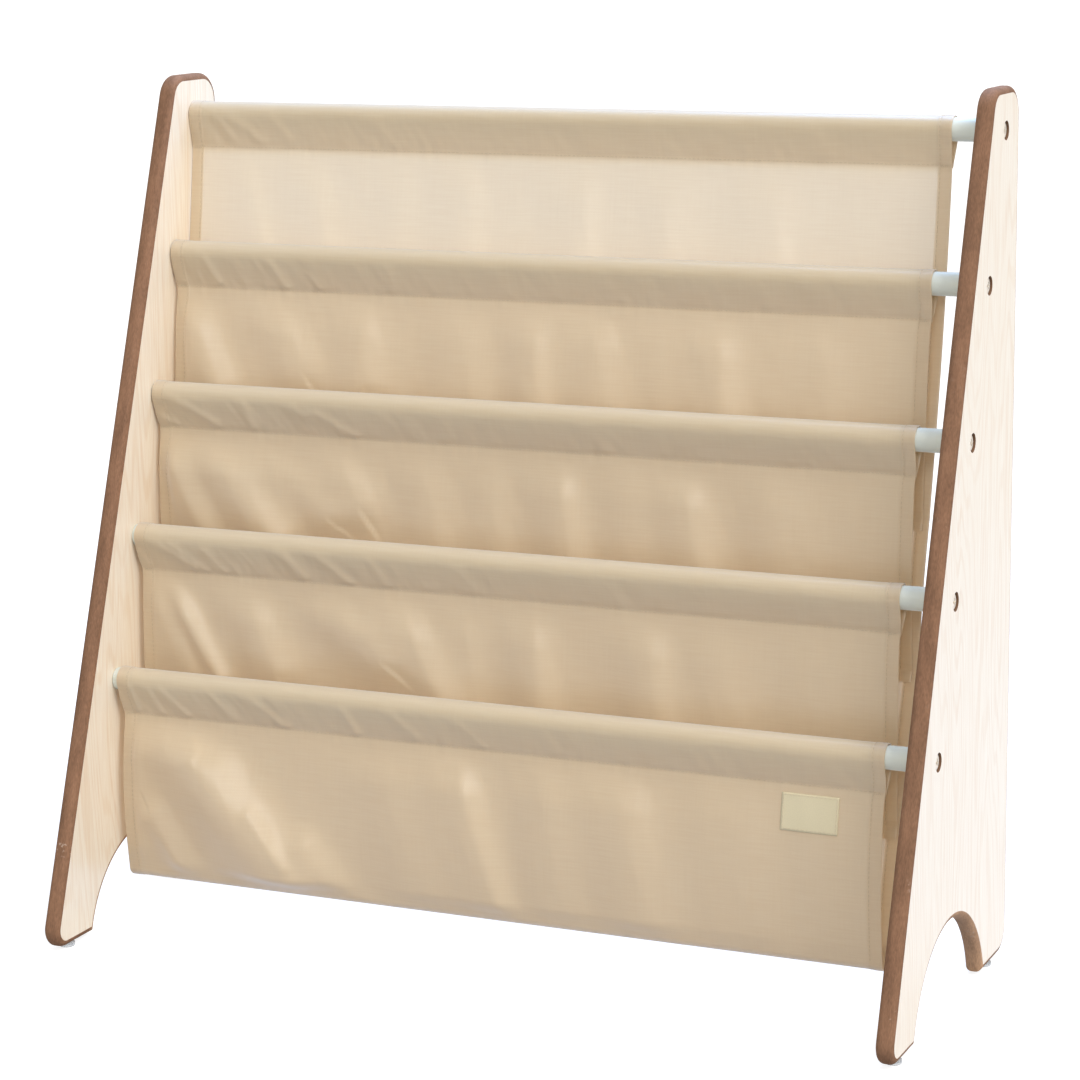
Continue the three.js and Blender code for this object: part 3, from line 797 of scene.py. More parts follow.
def woven_polyester_material(cloth):
    """Plain-woven recycled polyester: smooth and faintly sheeny, and one layer lets light through."""
    material, tree, surface = new_material("plain_woven_polyester")
    flat = add_node(tree, "ShaderNodeUVMap", {"uv_map": "flat_cloth"}).outputs[0]
    shade = slub_shade(tree, flat)
    mixed = add_node(
        tree,
        "ShaderNodeMix",
        {"data_type": "RGBA"},
        {0: shade, 6: opaque(cloth.cloth_colour), 7: opaque(cloth.slub_colour)},
    )
    # The real threads are about 0.35 mm apart, too fine to show, so they are drawn 0.8 mm apart.
    relief = yarn_relief(tree, flat, 1.6 * MM)
    bump = add_node(
        tree, "ShaderNodeBump", inputs={"Height": relief, "Strength": 0.25, "Distance": 0.06 * MM}
    )
    skin = add_node(
        tree,
        "ShaderNodeBsdfPrincipled",
        inputs={
            "Base Color": mixed.outputs[2],
            "Roughness": 0.38,
            "IOR": 1.6,
            "Specular IOR Level": 0.75,
            "Sheen Weight": 1.0,
            "Sheen Roughness": 0.5,
            "Sheen Tint": (0.86, 0.93, 1, 1),
            "Normal": bump.outputs[0],
        },
    )
    through = add_node(tree, "ShaderNodeBsdfTranslucent", inputs={"Color": opaque(cloth.through_colour)})
    cloth_shader = add_node(
        tree, "ShaderNodeMixShader", inputs={0: 0.32, 1: skin.outputs[0], 2: through.outputs[0]}
    )
    tree.links.new(cloth_shader.outputs[0], surface)
    return material


def sewing_thread_material(cloth):
    """Spun polyester thread: its twisted plies show as bands 1 to 2 mm apart."""
    material, tree, surface = new_material("spun_polyester_thread")
    place = add_node(tree, "ShaderNodeTexCoord").outputs["Object"]
    # The diagonal wave has 10 / tau bands for each unit of scale and of x + y + z.
    twist = add_node(
        tree,
        "ShaderNodeTexWave",
        {"bands_direction": "DIAGONAL", "wave_profile": "SIN"},
        {"Vector": place, "Scale": 0.32 / MM, "Distortion": 1, "Detail": 1},
    )
    mixed = add_node(
        tree,
        "ShaderNodeMix",
        {"data_type": "RGBA"},
        {
            0: twist.outputs["Fac"],
            6: opaque([channel * 0.88 for channel in cloth.thread_colour]),
            7: opaque(cloth.thread_colour),
        },
    )
    shader = add_node(
        tree,
        "ShaderNodeBsdfPrincipled",
        inputs={"Base Color": mixed.outputs[2], "Roughness": 0.6, "Sheen Weight": 0.2},
    )
    tree.links.new(shader.outputs[0], surface)
    return material


def woven_tape_material(cloth):
    """Cotton label tape: flat cream weave with ribs half a millimetre apart, nothing on it."""
    material, tree, surface = new_material("woven_cotton_tape")
    flat = add_node(tree, "ShaderNodeUVMap", {"uv_map": "flat_cloth"}).outputs[0]
    ribs = yarn_relief(tree, flat, 1.0 * MM)
    speck = add_node(
        tree,
        "ShaderNodeTexNoise",
        {"noise_dimensions": "2D"},
        {"Vector": flat, "Scale": 1.4 / MM, "Detail": 3},
    )
    mixed = add_node(
        tree,
        "ShaderNodeMix",
        {"data_type": "RGBA"},
        {
            0: speck.outputs["Fac"],
            6: opaque([channel * 0.88 for channel in cloth.label_colour]),
            7: opaque(cloth.label_colour),
        },
    )
    bump = add_node(tree, "ShaderNodeBump", inputs={"Height": ribs, "Strength": 0.4, "Distance": 0.08 * MM})
    shader = add_node(
        tree,
        "ShaderNodeBsdfPrincipled",
        inputs={"Base Color": mixed.outputs[2], "Roughness": 0.85, "Normal": bump.outputs[0]},
    )
    tree.links.new(shader.outputs[0], surface)
    return material


# Meshes


def spin_vertex(bm, start, centre, angle, steps):
    """Spin one vertex about an axis along X; returns the arc's vertices in order."""
    first = bm.verts.new(start)
    count = len(bm.verts)
    bmesh.ops.spin(bm, geom=[first], cent=centre, axis=X_AXIS, angle=angle, steps=steps)
    bm.verts.ensure_lookup_table()
    return [first, *bm.verts[count:]]


def spin_corner(bm, before, corner, after, radius):
    """Round one corner of an outline by spinning a vertex from one edge to the next."""
    to_before = (before - corner).normalized()
    to_after = (after - corner).normalized()
    half_angle = to_before.angle(to_after) / 2
    centre = corner + (to_before + to_after).normalized() * radius / math.sin(half_angle)
    start = corner + to_before * radius / math.tan(half_angle)
    return spin_vertex(bm, start, centre, math.pi - 2 * half_angle, CORNER_STEPS)


def spin_profile(bm, points, centre, axis, steps, closed=False):
    """Spin a profile of (distance along the axis, radius) points once round the axis."""
    out = axis.orthogonal().normalized()
    verts = [bm.verts.new(centre + axis * along + out * radius) for along, radius in points]
    ring = [*verts, verts[0]] if closed else verts
    edges = [bm.edges.new(pair) for pair in zip(ring, ring[1:])]
    bmesh.ops.spin(
        bm, geom=[*verts, *edges], cent=centre, axis=axis, angle=math.tau, steps=steps, use_merge=True
    )
    bmesh.ops.remove_doubles(bm, verts=bm.verts, dist=MERGE_DISTANCE)
    bmesh.ops.recalc_face_normals(bm, faces=bm.faces)


def shade_by_angle(mesh, sharp_from):
    """Smooth shading, with a crease wherever faces meet at a sharper angle or change finish."""
    bm = bmesh.new()
    bm.from_mesh(mesh)
    for face in bm.faces:
        face.smooth = True
    for edge in bm.edges:
        faces = edge.link_faces
        edge.smooth = (
            len(faces) == 2
            and faces[0].material_index == faces[1].material_index
            and edge.calc_face_angle(0) < sharp_from
        )
    bm.to_mesh(mesh)
    bm.free()


def to_object(bm, name, materials):
    """A scene object from a bmesh, at the origin, with the given materials in its slots."""
    mesh = bpy.data.meshes.new(name)
    bm.to_mesh(mesh)
    bm.free()
    for material in materials:
        mesh.materials.append(material)
    piece = bpy.data.objects.new(name, mesh)
    bpy.context.collection.objects.link(piece)
    return piece


def settle_piece(piece, slot, *nodes):
    """The piece belongs to the shelf and stands for the given nodes; slot is not used."""
    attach(piece, "root")
    if nodes:
        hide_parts(*nodes)
    return piece


def cut_away(piece, cutter):
    """Take the cutter's shape out of the piece, leaving a plain mesh."""
    modifier = piece.modifiers.new("cut", "BOOLEAN")
    modifier.operation = "DIFFERENCE"
    modifier.solver = "EXACT"
    modifier.object = cutter
    graph = bpy.context.evaluated_depsgraph_get()
    mesh = bpy.data.meshes.new_from_object(piece.evaluated_get(graph))
    piece.modifiers.clear()
    spare, piece.data = piece.data, mesh
    mesh.name = piece.name
    bpy.data.meshes.remove(spare)
    bpy.data.meshes.remove(cutter.data)
    if not mesh.polygons:
        raise RuntimeError(f"cutting {piece.name} left nothing of it")


def add_cylinder(bm, diameter, depth, middle, axis, material_index):
    """A cylinder along an axis, its faces in the given material slot."""
    turn = Z_AXIS.rotation_difference(axis).to_matrix().to_4x4()
    made = bmesh.ops.create_cone(
        bm,
        cap_ends=True,
        segments=ROUND_SIDES,
        radius1=diameter / 2,
        radius2=diameter / 2,
        depth=depth,
        matrix=Matrix.Translation(middle) @ turn,
    )
    for vert in made["verts"]:
        for face in vert.link_faces:
            face.material_index = material_index


def rod_centres():
    """Middle of each rod's axis, top rod first."""
    boxes = [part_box(name) for name in ROD_NODES]
    return [(low + high) / 2 for low, high in boxes]


# Side boards


def arch_circle(board, low, high):
    """Centre and radius of the arch between the feet."""
    half_span = (board.foot_depth - board.rear_foot - board.front_foot) / 2
    radius = (half_span**2 + board.arch_rise**2) / (2 * board.arch_rise)
    return Vector((low.x, high.y - board.rear_foot - half_span, low.z + board.arch_rise - radius)), radius


def board_outline(bm, board, low, high):
    """One face with the side board's outline: four rounded corners and the arch between its feet."""
    x = low.x
    heel = Vector((x, high.y, low.z))
    top_rear = Vector((x, high.y, high.z))
    top_front = Vector((x, high.y - board.top_depth, high.z))
    nose = Vector((x, high.y - board.foot_depth, low.z))
    centre, radius = arch_circle(board, low, high)
    arch_start = Vector((x, high.y - board.foot_depth + board.front_foot, low.z))
    arch_turn = 2 * math.acos((radius - board.arch_rise) / radius)
    outline = [
        *spin_corner(bm, nose, heel, top_rear, board.heel_radius),
        *spin_corner(bm, heel, top_rear, top_front, board.top_rear_radius),
        *spin_corner(bm, top_rear, top_front, nose, board.top_front_radius),
        *spin_corner(bm, top_front, nose, heel, board.nose_radius),
        *spin_vertex(bm, arch_start, centre, -arch_turn, ARCH_STEPS),
    ]
    return bm.faces.new(outline)


def board_blank(board, low, high):
    """The side board before it is drilled: faces in material 0 and its rounded rim in material 1."""
    bm = bmesh.new()
    inner = board_outline(bm, board, low, high)
    inner.normal_update()
    made = bmesh.ops.extrude_face_region(bm, geom=[inner])
    moved = [item for item in made["geom"] if isinstance(item, bmesh.types.BMVert)]
    bmesh.ops.translate(bm, verts=moved, vec=X_AXIS * (high.x - low.x))
    bmesh.ops.recalc_face_normals(bm, faces=bm.faces)
    flats = [face for face in bm.faces if abs(face.normal.x) > FLAT_FACE]
    rims = {edge for face in flats for edge in face.edges}
    bmesh.ops.bevel(
        bm,
        geom=list(rims),
        offset=board.edge_rounding,
        offset_type="OFFSET",
        segments=EDGE_STEPS,
        profile=0.5,
        affect="EDGES",
        material=-1,
    )
    for face in bm.faces:
        face.material_index = 0 if abs(face.normal.x) > FLAT_FACE else 1
    return bm


def board_drill(board, side, low, high):
    """Everything drilled out of a side board, in material 2."""
    bm = bmesh.new()
    outer_face = high.x if side > 0 else low.x
    overrun = 1 * MM
    for centre in rod_centres():
        middle = Vector(((low.x + high.x) / 2, centre.y, centre.z))
        add_cylinder(bm, board.screw_hole, high.x - low.x + 2 * overrun, middle, X_AXIS, 2)
    drill = to_object(bm, "screw_holes", [])
    bm = bmesh.new()
    for centre in rod_centres():
        depth = board.counterbore_depth + overrun
        middle = Vector((outer_face + side * (overrun - depth / 2), centre.y, centre.z))
        add_cylinder(bm, board.counterbore, depth, middle, X_AXIS, 2)
    for end in ENDS:
        glide_low, glide_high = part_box(f"floor_glide_{end}_{'right' if side > 0 else 'left'}")
        depth = board.peg_hole_depth + overrun
        middle = (glide_low + glide_high) / 2
        middle.z = low.z + board.peg_hole_depth - depth / 2
        add_cylinder(bm, board.peg_hole, depth, middle, Z_AXIS, 2)
    return drill, to_object(bm, "counterbores", [])


class SHELF_OT_side_boards(bpy.types.Operator):
    """Model the two side boards: pale printed faces, brown rounded edges, drilled for screws and glides"""

    bl_idname = "shelf.side_boards"
    bl_label = "Side boards"

    def execute(self, context):
        board = context.scene.shelf_board
        finishes = [printed_board_material(board), stained_edge_material(board), cut_core_material(board)]
        for name, side in SIDES.items():
            low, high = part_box(f"side_panel_{name}")
            piece = to_object(board_blank(board, low, high), f"side_board_{name}", finishes)
            for drill in board_drill(board, side, low, high):
                for finish in finishes:
                    drill.data.materials.append(finish)
                cut_away(piece, drill)
            shade_by_angle(piece.data, BOARD_CREASE)
            settle_piece(piece, "panel_board", f"side_panel_{name}")
        return {"FINISHED"}


# Rods and fittings


class SHELF_OT_rods(bpy.types.Operator):
    """Model the five powder-coated tubes that carry the sling"""

    bl_idname = "shelf.rods"
    bl_label = "Rods"

    def execute(self, context):
        fittings = context.scene.shelf_fittings
        coat = moulded_or_coated_material(
            "white_powder_coated_steel", fittings.rod_colour, 0.7 * MM, 0.03 * MM, Roughness=0.4, IOR=1.5
        )
        for node in ROD_NODES:
            low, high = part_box(node)
            half = (high.x - low.x) / 2
            outer = (high.z - low.z) / 2
            inner = outer - fittings.rod_wall
            chamfer = fittings.rod_chamfer
            profile = [
                (-half, inner),
                (-half, outer - chamfer),
                (chamfer - half, outer),
                (half - chamfer, outer),
                (half, outer - chamfer),
                (half, inner),
            ]
            bm = bmesh.new()
            spin_profile(bm, profile, (low + high) / 2, X_AXIS, ROUND_SIDES, closed=True)
            piece = to_object(bm, f"tube_{node}", [coat])
            shade_by_angle(piece.data, TUBE_CREASE)
            settle_piece(piece, "rod_coating", node)
        return {"FINISHED"}


def screw_profile(fittings, tip, head):
    """Half of a pan-head screw, from its seat at 0: domed head, plain shank and a short point."""
    top = fittings.head_height
    shank = fittings.shank / 2
    dome = [
        (top - fittings.head_dome * (step / DOME_STEPS) ** 2, head * HEAD_CROWN_SHARE * step / DOME_STEPS)
        for step in range(DOME_STEPS + 1)
    ]
    rim = top - fittings.head_dome
    return [
        *dome,
        *((rim - drop * fittings.head_height, head * wide) for drop, wide in HEAD_RIM_SHARES),
        (0, head * HEAD_SEAT_SHARE),
        (0, shank),
        (tip + shank / 2, shank),
        (tip, shank / 2),
        (tip, 0),
    ]


def recess_slot(fittings, top, side, turn):
    """One slot of a cross recess, narrower at its bottom, turned about the screw's axis."""
    bm = bmesh.new()
    shape = Matrix.Rotation(turn, 4, "X") @ Matrix.Diagonal(
        (1, fittings.recess_reach, fittings.recess_width, 1)
    )
    outward = Matrix.Rotation(side * math.pi / 2, 4, "Y") @ Matrix.Rotation(math.pi / 4, 4, "Z")
    bmesh.ops.create_cone(
        bm,
        cap_ends=True,
        segments=4,
        radius1=SLOT_BOTTOM_SHARE,
        radius2=SLOT_TOP_SHARE,
        depth=2 * (fittings.recess_depth + fittings.head_dome),
        matrix=Matrix.Translation(top) @ shape @ outward,
    )
    return to_object(bm, "recess_slot", [])


class SHELF_OT_screws(bpy.types.Operator):
    """Model the ten zinc-plated cross-head screws in their recesses"""

    bl_idname = "shelf.screws"
    bl_label = "Screws"

    def execute(self, context):
        fittings = context.scene.shelf_fittings
        zinc = moulded_or_coated_material(
            "zinc_plated_steel", fittings.screw_colour, 0.5 * MM, 0.02 * MM, Metallic=1.0, Roughness=0.5
        )
        for name, side in SIDES.items():
            for number in range(1, len(ROD_NODES) + 1):
                node = f"rod_screw_{number}_{name}"
                low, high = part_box(node)
                axis = X_AXIS * side
                centre = (low + high) / 2
                outside = high.x if side > 0 else low.x
                seat = Vector((outside, centre.y, centre.z)) - axis * fittings.head_height
                tip = fittings.head_height - (high.x - low.x)
                profile = screw_profile(fittings, tip, (high.z - low.z) / 2)
                bm = bmesh.new()
                spin_profile(bm, profile, seat, axis, SMALL_ROUND_SIDES)
                piece = to_object(bm, f"cross_screw_{number}_{name}", [zinc])
                top = seat + axis * fittings.head_height
                for turn in (0, math.pi / 2):
                    cut_away(piece, recess_slot(fittings, top, side, turn))
                shade_by_angle(piece.data, SCREW_CREASE)
                settle_piece(piece, "screw_steel", node)
        return {"FINISHED"}


class SHELF_OT_inserts(bpy.types.Operator):
    """Give the hidden inserts in the rods' ends their moulded finish"""

    bl_idname = "shelf.inserts"
    bl_label = "Rod inserts"

    def execute(self, context):
        fittings = context.scene.shelf_fittings
        nylon = moulded_or_coated_material(
            "moulded_nylon", fittings.insert_colour, 0.9 * MM, 0.04 * MM, Roughness=0.5, IOR=1.53
        )
        for name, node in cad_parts.items():
            if name.startswith("rod_insert_"):
                node.data.materials.clear()
                node.data.materials.append(nylon)
        return {"FINISHED"}


class SHELF_OT_glides(bpy.types.Operator):
    """Model the four clear glides pressed in under the feet"""

    bl_idname = "shelf.glides"
    bl_label = "Floor glides"

    def execute(self, context):
        fittings = context.scene.shelf_fittings
        clear = moulded_or_coated_material(
            "clear_polyethylene",
            fittings.glide_colour,
            1.2 * MM,
            0.03 * MM,
            **{"Roughness": 0.25, "IOR": 1.51, "Transmission Weight": 0.7},
        )
        for side in SIDES:
            for end in ENDS:
                node = f"floor_glide_{end}_{side}"
                low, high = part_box(node)
                middle = Vector(((low.x + high.x) / 2, (low.y + high.y) / 2, low.z))
                outer = (high.x - low.x) / 2
                rounding = fittings.glide_rounding
                arc = [
                    (rounding * (1 - math.cos(turn)), outer - rounding * (1 - math.sin(turn)))
                    for turn in (math.pi / 2 * step / RIM_STEPS for step in range(RIM_STEPS + 1))
                ]
                profile = [
                    (0, 0),
                    *arc,
                    (fittings.glide_height, outer),
                    (fittings.glide_height, fittings.peg / 2),
                    (high.z - low.z - rounding, fittings.peg / 2),
                    (high.z - low.z, fittings.peg / 2 - rounding),
                    (high.z - low.z, 0),
                ]
                bm = bmesh.new()
                spin_profile(bm, profile, middle, Z_AXIS, SMALL_ROUND_SIDES)
                piece = to_object(bm, f"glide_{end}_{side}", [clear])
                shade_by_angle(piece.data, GLIDE_CREASE)
                settle_piece(piece, "glide_plastic", node)
        return {"FINISHED"}


# Cloth


def stretch_line(start, end, bow, steps):
    """Points of one hanging stretch: a straight line with a bow to the front."""
    down = (end - start).normalized()
    front = Vector((0, down.z, -down.y))
    return [
        start.lerp(end, step / steps) + front * bow * math.sin(math.pi * step / steps)
        for step in range(steps + 1)
    ]


class Sleeve:
    """A sleeve on its rod, seen from the side: its flap behind, the loop round the rod, its stitch line."""

    def __init__(self, rod, target, cloth):
        down = (target - rod).normalized()
        self.front = Vector((0, down.z, -down.y))
        reach, gap, radius = cloth.sleeve_drop, cloth.sleeve_gap, cloth.sleeve_radius
        spread = math.atan2(gap, reach) + math.acos(radius / math.hypot(gap, reach))
        turn = 2 * (math.pi - spread)
        angles = (-spread - turn * step / LOOP_STEPS for step in range(LOOP_STEPS + 1))
        loop = [
            rod + down * radius * math.cos(angle) + self.front * radius * math.sin(angle)
            for angle in angles
        ]
        behind = rod + down * reach - self.front * gap
        self.line = [behind + down * cloth.flap, behind, *loop]
        self.stitch = rod + down * reach + self.front * gap


class SlingLines:
    """The lines that the five sheets of the sling follow, seen from the side, in the plane X = 0."""

    def __init__(self, cloth):
        self.cloth = cloth
        self.rods = [Vector((0, centre.y, centre.z)) for centre in rod_centres()]
        leads = (cloth.first_seam_lead, 0, 0)
        self.seams = [
            rod + Vector((0, -lead, -cloth.pocket_drop)) for rod, lead in zip(self.rods[1:], leads)
        ]
        drop = cloth.bottom_drop - cloth.fold_radius
        self.fold = self.rods[-1] + Vector((0, cloth.fold_setback, -drop))
        self.rear_angle = self.fold_angle(self.seams[-1], -1)
        self.back_sleeve = Sleeve(self.rods[0], self.seams[0], cloth)

    def fold_angle(self, point, side):
        """Angle at which a line from a point touches the bottom fold, at the rear (-1) or in front (1)."""
        away = point - self.fold
        return math.atan2(away.z, away.y) + side * math.acos(self.cloth.fold_radius / away.length)

    def on_fold(self, angle, radius):
        """A point at this angle round the axis of the bottom fold."""
        return self.fold + Vector((0, math.cos(angle), math.sin(angle))) * radius

    def back(self):
        """The back sheet from its stitch line down past the three seams to the bottom fold."""
        end = self.on_fold(self.rear_angle, self.cloth.fold_radius - self.cloth.seam_gap)
        corners = [self.back_sleeve.stitch, *self.seams, end]
        points = [corners[0]]
        for start, stop, bow in zip(corners, corners[1:], self.cloth.back_bows):
            points += stretch_line(start, stop, bow, BACK_STEPS)[1:]
        return self.back_sleeve.line + points, len(self.back_sleeve.line)

    def pocket(self, index):
        """A pocket panel down to its seam on the back sheet, or round the bottom fold."""
        if index == len(self.rods) - 2:
            return self.bottom_pocket()
        seam = self.seams[index]
        sleeve = Sleeve(self.rods[index + 1], seam, self.cloth)
        back, start = self.back()
        at_seam = start + (index + 1) * BACK_STEPS
        along = (back[at_seam + 1] - back[at_seam]).normalized()
        meeting = seam + Vector((0, along.z, -along.y)) * self.cloth.seam_gap
        hanging = stretch_line(sleeve.stitch, meeting, self.cloth.pocket_bows[index], POCKET_STEPS)
        line = [*sleeve.line, *hanging, meeting + along * self.cloth.seam_allowance]
        return line, len(sleeve.line), len(sleeve.line) + POCKET_STEPS

    def bottom_pocket(self):
        """The bottom pocket's panel: down its front, round the fold and up to its seam behind."""
        radius = self.cloth.fold_radius
        sleeve = Sleeve(self.rods[-1], self.on_fold(math.pi, radius), self.cloth)
        front_angle = self.fold_angle(sleeve.stitch, 1)
        turn = self.rear_angle + math.tau - front_angle
        hanging = stretch_line(
            sleeve.stitch, self.on_fold(front_angle, radius), self.cloth.pocket_bows[-1], POCKET_STEPS
        )
        under = [
            self.on_fold(front_angle + turn * step / BOTTOM_FOLD_STEPS, radius)
            for step in range(1, BOTTOM_FOLD_STEPS + 1)
        ]
        up_behind = under[-1] + (self.seams[-1] - under[-1]).normalized() * self.cloth.seam_allowance
        line = [*sleeve.line, *hanging, *under, up_behind]
        return line, len(sleeve.line), len(sleeve.line) + POCKET_STEPS


def ease(share):
    """A smooth rise from 0 to 1."""
    share = min(max(share, 0.0), 1.0)
    return share * share * (3 - 2 * share)


def crease_height(creases, across, below):
    """Height of all the creases of a sheet at a place on the flat cloth, in metres."""
    height = 0.0
    for from_x, from_y, to_x, to_y, tall, right_width, left_width in creases:
        run_x, run_y = (to_x - from_x) * MM, (to_y - from_y) * MM
        off_x, off_y = across - from_x * MM, below - from_y * MM
        run = math.hypot(run_x, run_y)
        along = min(max((off_x * run_x + off_y * run_y) / run**2, 0.0), 1.0)
        away = math.hypot(off_x - along * run_x, off_y - along * run_y)
        to_right = off_x * run_y - off_y * run_x > 0
        width = (right_width if to_right else left_width) * MM
        height += tall * MM * math.exp(-((away / width) ** 2))
    return height


class HungSheet:
    """A sheet of cloth as it hangs: the line it follows, its folds, and where a point of the flat ends up."""

    def __init__(self, cloth, number, line, stitch_index, foot_index, folds, creases, seed):
        self.cloth = cloth
        self.line = line
        self.travel = [0.0]
        for before, after in zip(line, line[1:]):
            self.travel.append(self.travel[-1] + (after - before).length)
        self.length = self.travel[-1]
        self.stitch = self.travel[stitch_index]
        self.foot = self.travel[foot_index] if foot_index else self.length
        self.fronts = [self.front_at(index) for index in range(len(line))]
        self.folds, self.creases, self.seed = folds, creases, seed
        self.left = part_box("side_panel_left")[1].x + cloth.left_gaps[number]
        self.width = cloth.width + (0 if number else cloth.back_extra)
        self.hem_cut = cloth.hem + math.pi * cloth.hem_turn
        self.draw_in = cloth.draw_in if number else cloth.back_draw_in
        self.sewn = [self.stitch]
        self.give = 0.0

    def front_at(self, index):
        """Which way the cloth's face looks at a point of its line."""
        before = self.line[max(index - 1, 0)]
        after = self.line[min(index + 1, len(self.line) - 1)]
        down = (after - before).normalized()
        return Vector((0, down.z, -down.y))

    def on_line(self, down):
        """The point that lies this far down the cloth, and which way its face looks."""
        down = min(max(down, 0.0), self.length)
        index = min(bisect.bisect_right(self.travel, down), len(self.line) - 1) - 1
        share = (down - self.travel[index]) / (self.travel[index + 1] - self.travel[index])
        point = self.line[index].lerp(self.line[index + 1], share)
        return point, self.fronts[index].lerp(self.fronts[index + 1], share).normalized()

    def rise(self, across, down):
        """How far the cloth stands off its line, in front of it."""
        below = down - self.stitch
        height = self.hanging_rise(across, below) + self.sleeve_rise(across, below)
        return height + self.hem_step(across) - self.pull(across, down)

    def hanging_rise(self, across, below):
        """Folds and waves between the stitch line and the seam, flatter near the side hems."""
        free = ease((self.foot - self.stitch + self.give - below) / FOLDS_END)
        held = HELD_SHARE + (1 - HELD_SHARE) * ease(min(across, self.width - across) / SIDES_HELD)
        waves = sum(tall * self.waviness(across, below, *wave) for tall, *wave in HANGING_WAVES)
        tall, *wave = SLANTED_WAVE
        waves += tall * self.waviness(across - WAVE_SLANT * below, below, *wave)
        folds = ease(below / FOLDS_START) * crease_height(self.folds, across, below)
        return free * held * (folds + ease(below / WAVES_START) * waves * MM)

    def sleeve_rise(self, across, below):
        """Creases, soft rumples and sharper crumples on the front of the sleeve."""
        face = ease((below + SLEEVE_FACE) / SLEEVE_FACE_START) * ease(-below / SLEEVE_FACE_END)
        slant = across - SLEEVE_SLANT * below
        fade = 1 - SMOOTHER_AT_RIGHT * ease(SMOOTHING_RATE * across / self.width)
        tall, *wave = RUMPLE
        rumple = tall * self.waviness(slant, below, *wave)
        tall, *wave = CRUMPLE
        crumple = tall * (CRUMPLE_LEVEL - abs(self.waviness(slant, below, *wave)))
        return face * (crease_height(self.creases, across, below) + fade * (rumple + crumple) * MM)

    def waviness(self, across, below, width, run, layer):
        """Smooth chance waves, this many millimetres wide and long."""
        return noise.noise(Vector((across / (width * MM), below / (run * MM), self.seed + layer)))

    def hem_step(self, across):
        """The turned hems make the cloth thicker along its side edges, and their stitches sink in."""
        inside = min(across, self.width - across)
        thicker = HEM_PROUD * (1 - ease((inside - self.cloth.hem) / HEM_EDGE + 0.5))
        sewn = (inside - self.cloth.hem + HEM_STITCH_INSET) / HEM_STITCH_WIDTH
        return thicker - HEM_STITCH_DEPTH * math.exp(-(sewn**2))

    def pull(self, across, down):
        """How far the stitch lines pull the cloth in, with small puckers between the stitches."""
        nearest = min(abs(down - sewn) for sewn in self.sewn)
        near = math.exp(-((nearest / GROOVE_WIDTH) ** 2))
        pucker = noise.noise(Vector((across / PUCKER_LENGTH, self.seed + 3, 0)))
        spread = math.exp(-((nearest / PUCKER_REACH) ** 2))
        return self.cloth.groove * near - PUCKER_HEIGHT * pucker * spread

    def below_sleeve(self, down):
        """How far a place lies below the stitch line, the same on both layers of the sleeve."""
        behind = max(down - self.cloth.flap, 0.0)
        return max(down - self.stitch, -behind)

    def place(self, across, down, proud=0.0):
        """Where a point of the flat cloth ends up; past a side edge it goes round into the turned hem."""
        turn = self.cloth.hem_turn
        inside = min(max(across, 0.0), self.width)
        outside = abs(across - inside)
        side = 1 if across > inside else -1
        angle = min(outside / turn, math.pi)
        back = turn * (1 - math.cos(angle))
        flat_part = max(outside - math.pi * turn, 0.0)
        seen = inside - side * flat_part
        point, front = self.on_line(down)
        x = self.left + seen + side * turn * math.sin(angle)
        drawn = ease(self.below_sleeve(down) / self.cloth.sleeve_drop + DRAWN_FROM_SHARE)
        x += self.draw_in * drawn * (1 - 2 * seen / self.width)
        return Vector((x, 0, 0)) + point + front * (self.rise(seen, down) + proud - back)


def hem_columns(width, hem, hem_cut, turn):
    """Where the flat cloth is divided across: fine in the hems and round their turned edges."""
    edge = math.pi * turn
    half = [-hem_cut + hem * step / HEM_COLUMNS for step in range(HEM_COLUMNS)]
    half += [-edge + edge * step / HEM_COLUMNS for step in range(HEM_COLUMNS)]
    half += [EVEN_SHARE * hem * step / HEM_COLUMNS for step in range(HEM_COLUMNS)]
    close = (CLOSE_SHARE * step / HEM_EDGE_COLUMNS for step in range(HEM_EDGE_COLUMNS + 1))
    half += [hem * (EVEN_SHARE + share) for share in close]
    start = half[-1]
    shares = ((step / MIDDLE_COLUMNS) ** LEFT_CLOSER for step in range(1, MIDDLE_COLUMNS))
    middle = [start + (width - 2 * start) * share for share in shares]
    return [*half, *middle, *[width - across for across in reversed(half)]]


def make_sheet(sheet, rows, name, finish):
    """Hang a flat grid of cloth; its UV map keeps the flat cloth's own metres."""
    columns = hem_columns(sheet.width, sheet.cloth.hem, sheet.hem_cut, sheet.cloth.hem_turn)
    bm = bmesh.new()
    bmesh.ops.create_grid(bm, x_segments=len(columns) - 1, y_segments=rows, size=0.5)
    layer = bm.loops.layers.uv.new("flat_cloth")
    flat = {}
    for vert in bm.verts:
        across = columns[round((vert.co.x + 0.5) * (len(columns) - 1))]
        down = (0.5 - vert.co.y) * sheet.length
        flat[vert] = (across, down)
    for face in bm.faces:
        face.smooth = True
        for loop in face.loops:
            across, down = flat[loop.vert]
            loop[layer].uv = (across + sheet.hem_cut, down)
    for vert, (across, down) in flat.items():
        vert.co = sheet.place(across, down)
    return to_object(bm, name, [finish])


def thread_spindle():
    """One stitch's worth of thread, a unit long and a unit thick."""
    bm = bmesh.new()
    bmesh.ops.create_uvsphere(bm, u_segments=THREAD_SIDES, v_segments=THREAD_RINGS, radius=0.5)
    for face in bm.faces:
        face.smooth = True
    mesh = bpy.data.meshes.new("thread_spindle")
    bm.to_mesh(mesh)
    bm.free()
    return mesh


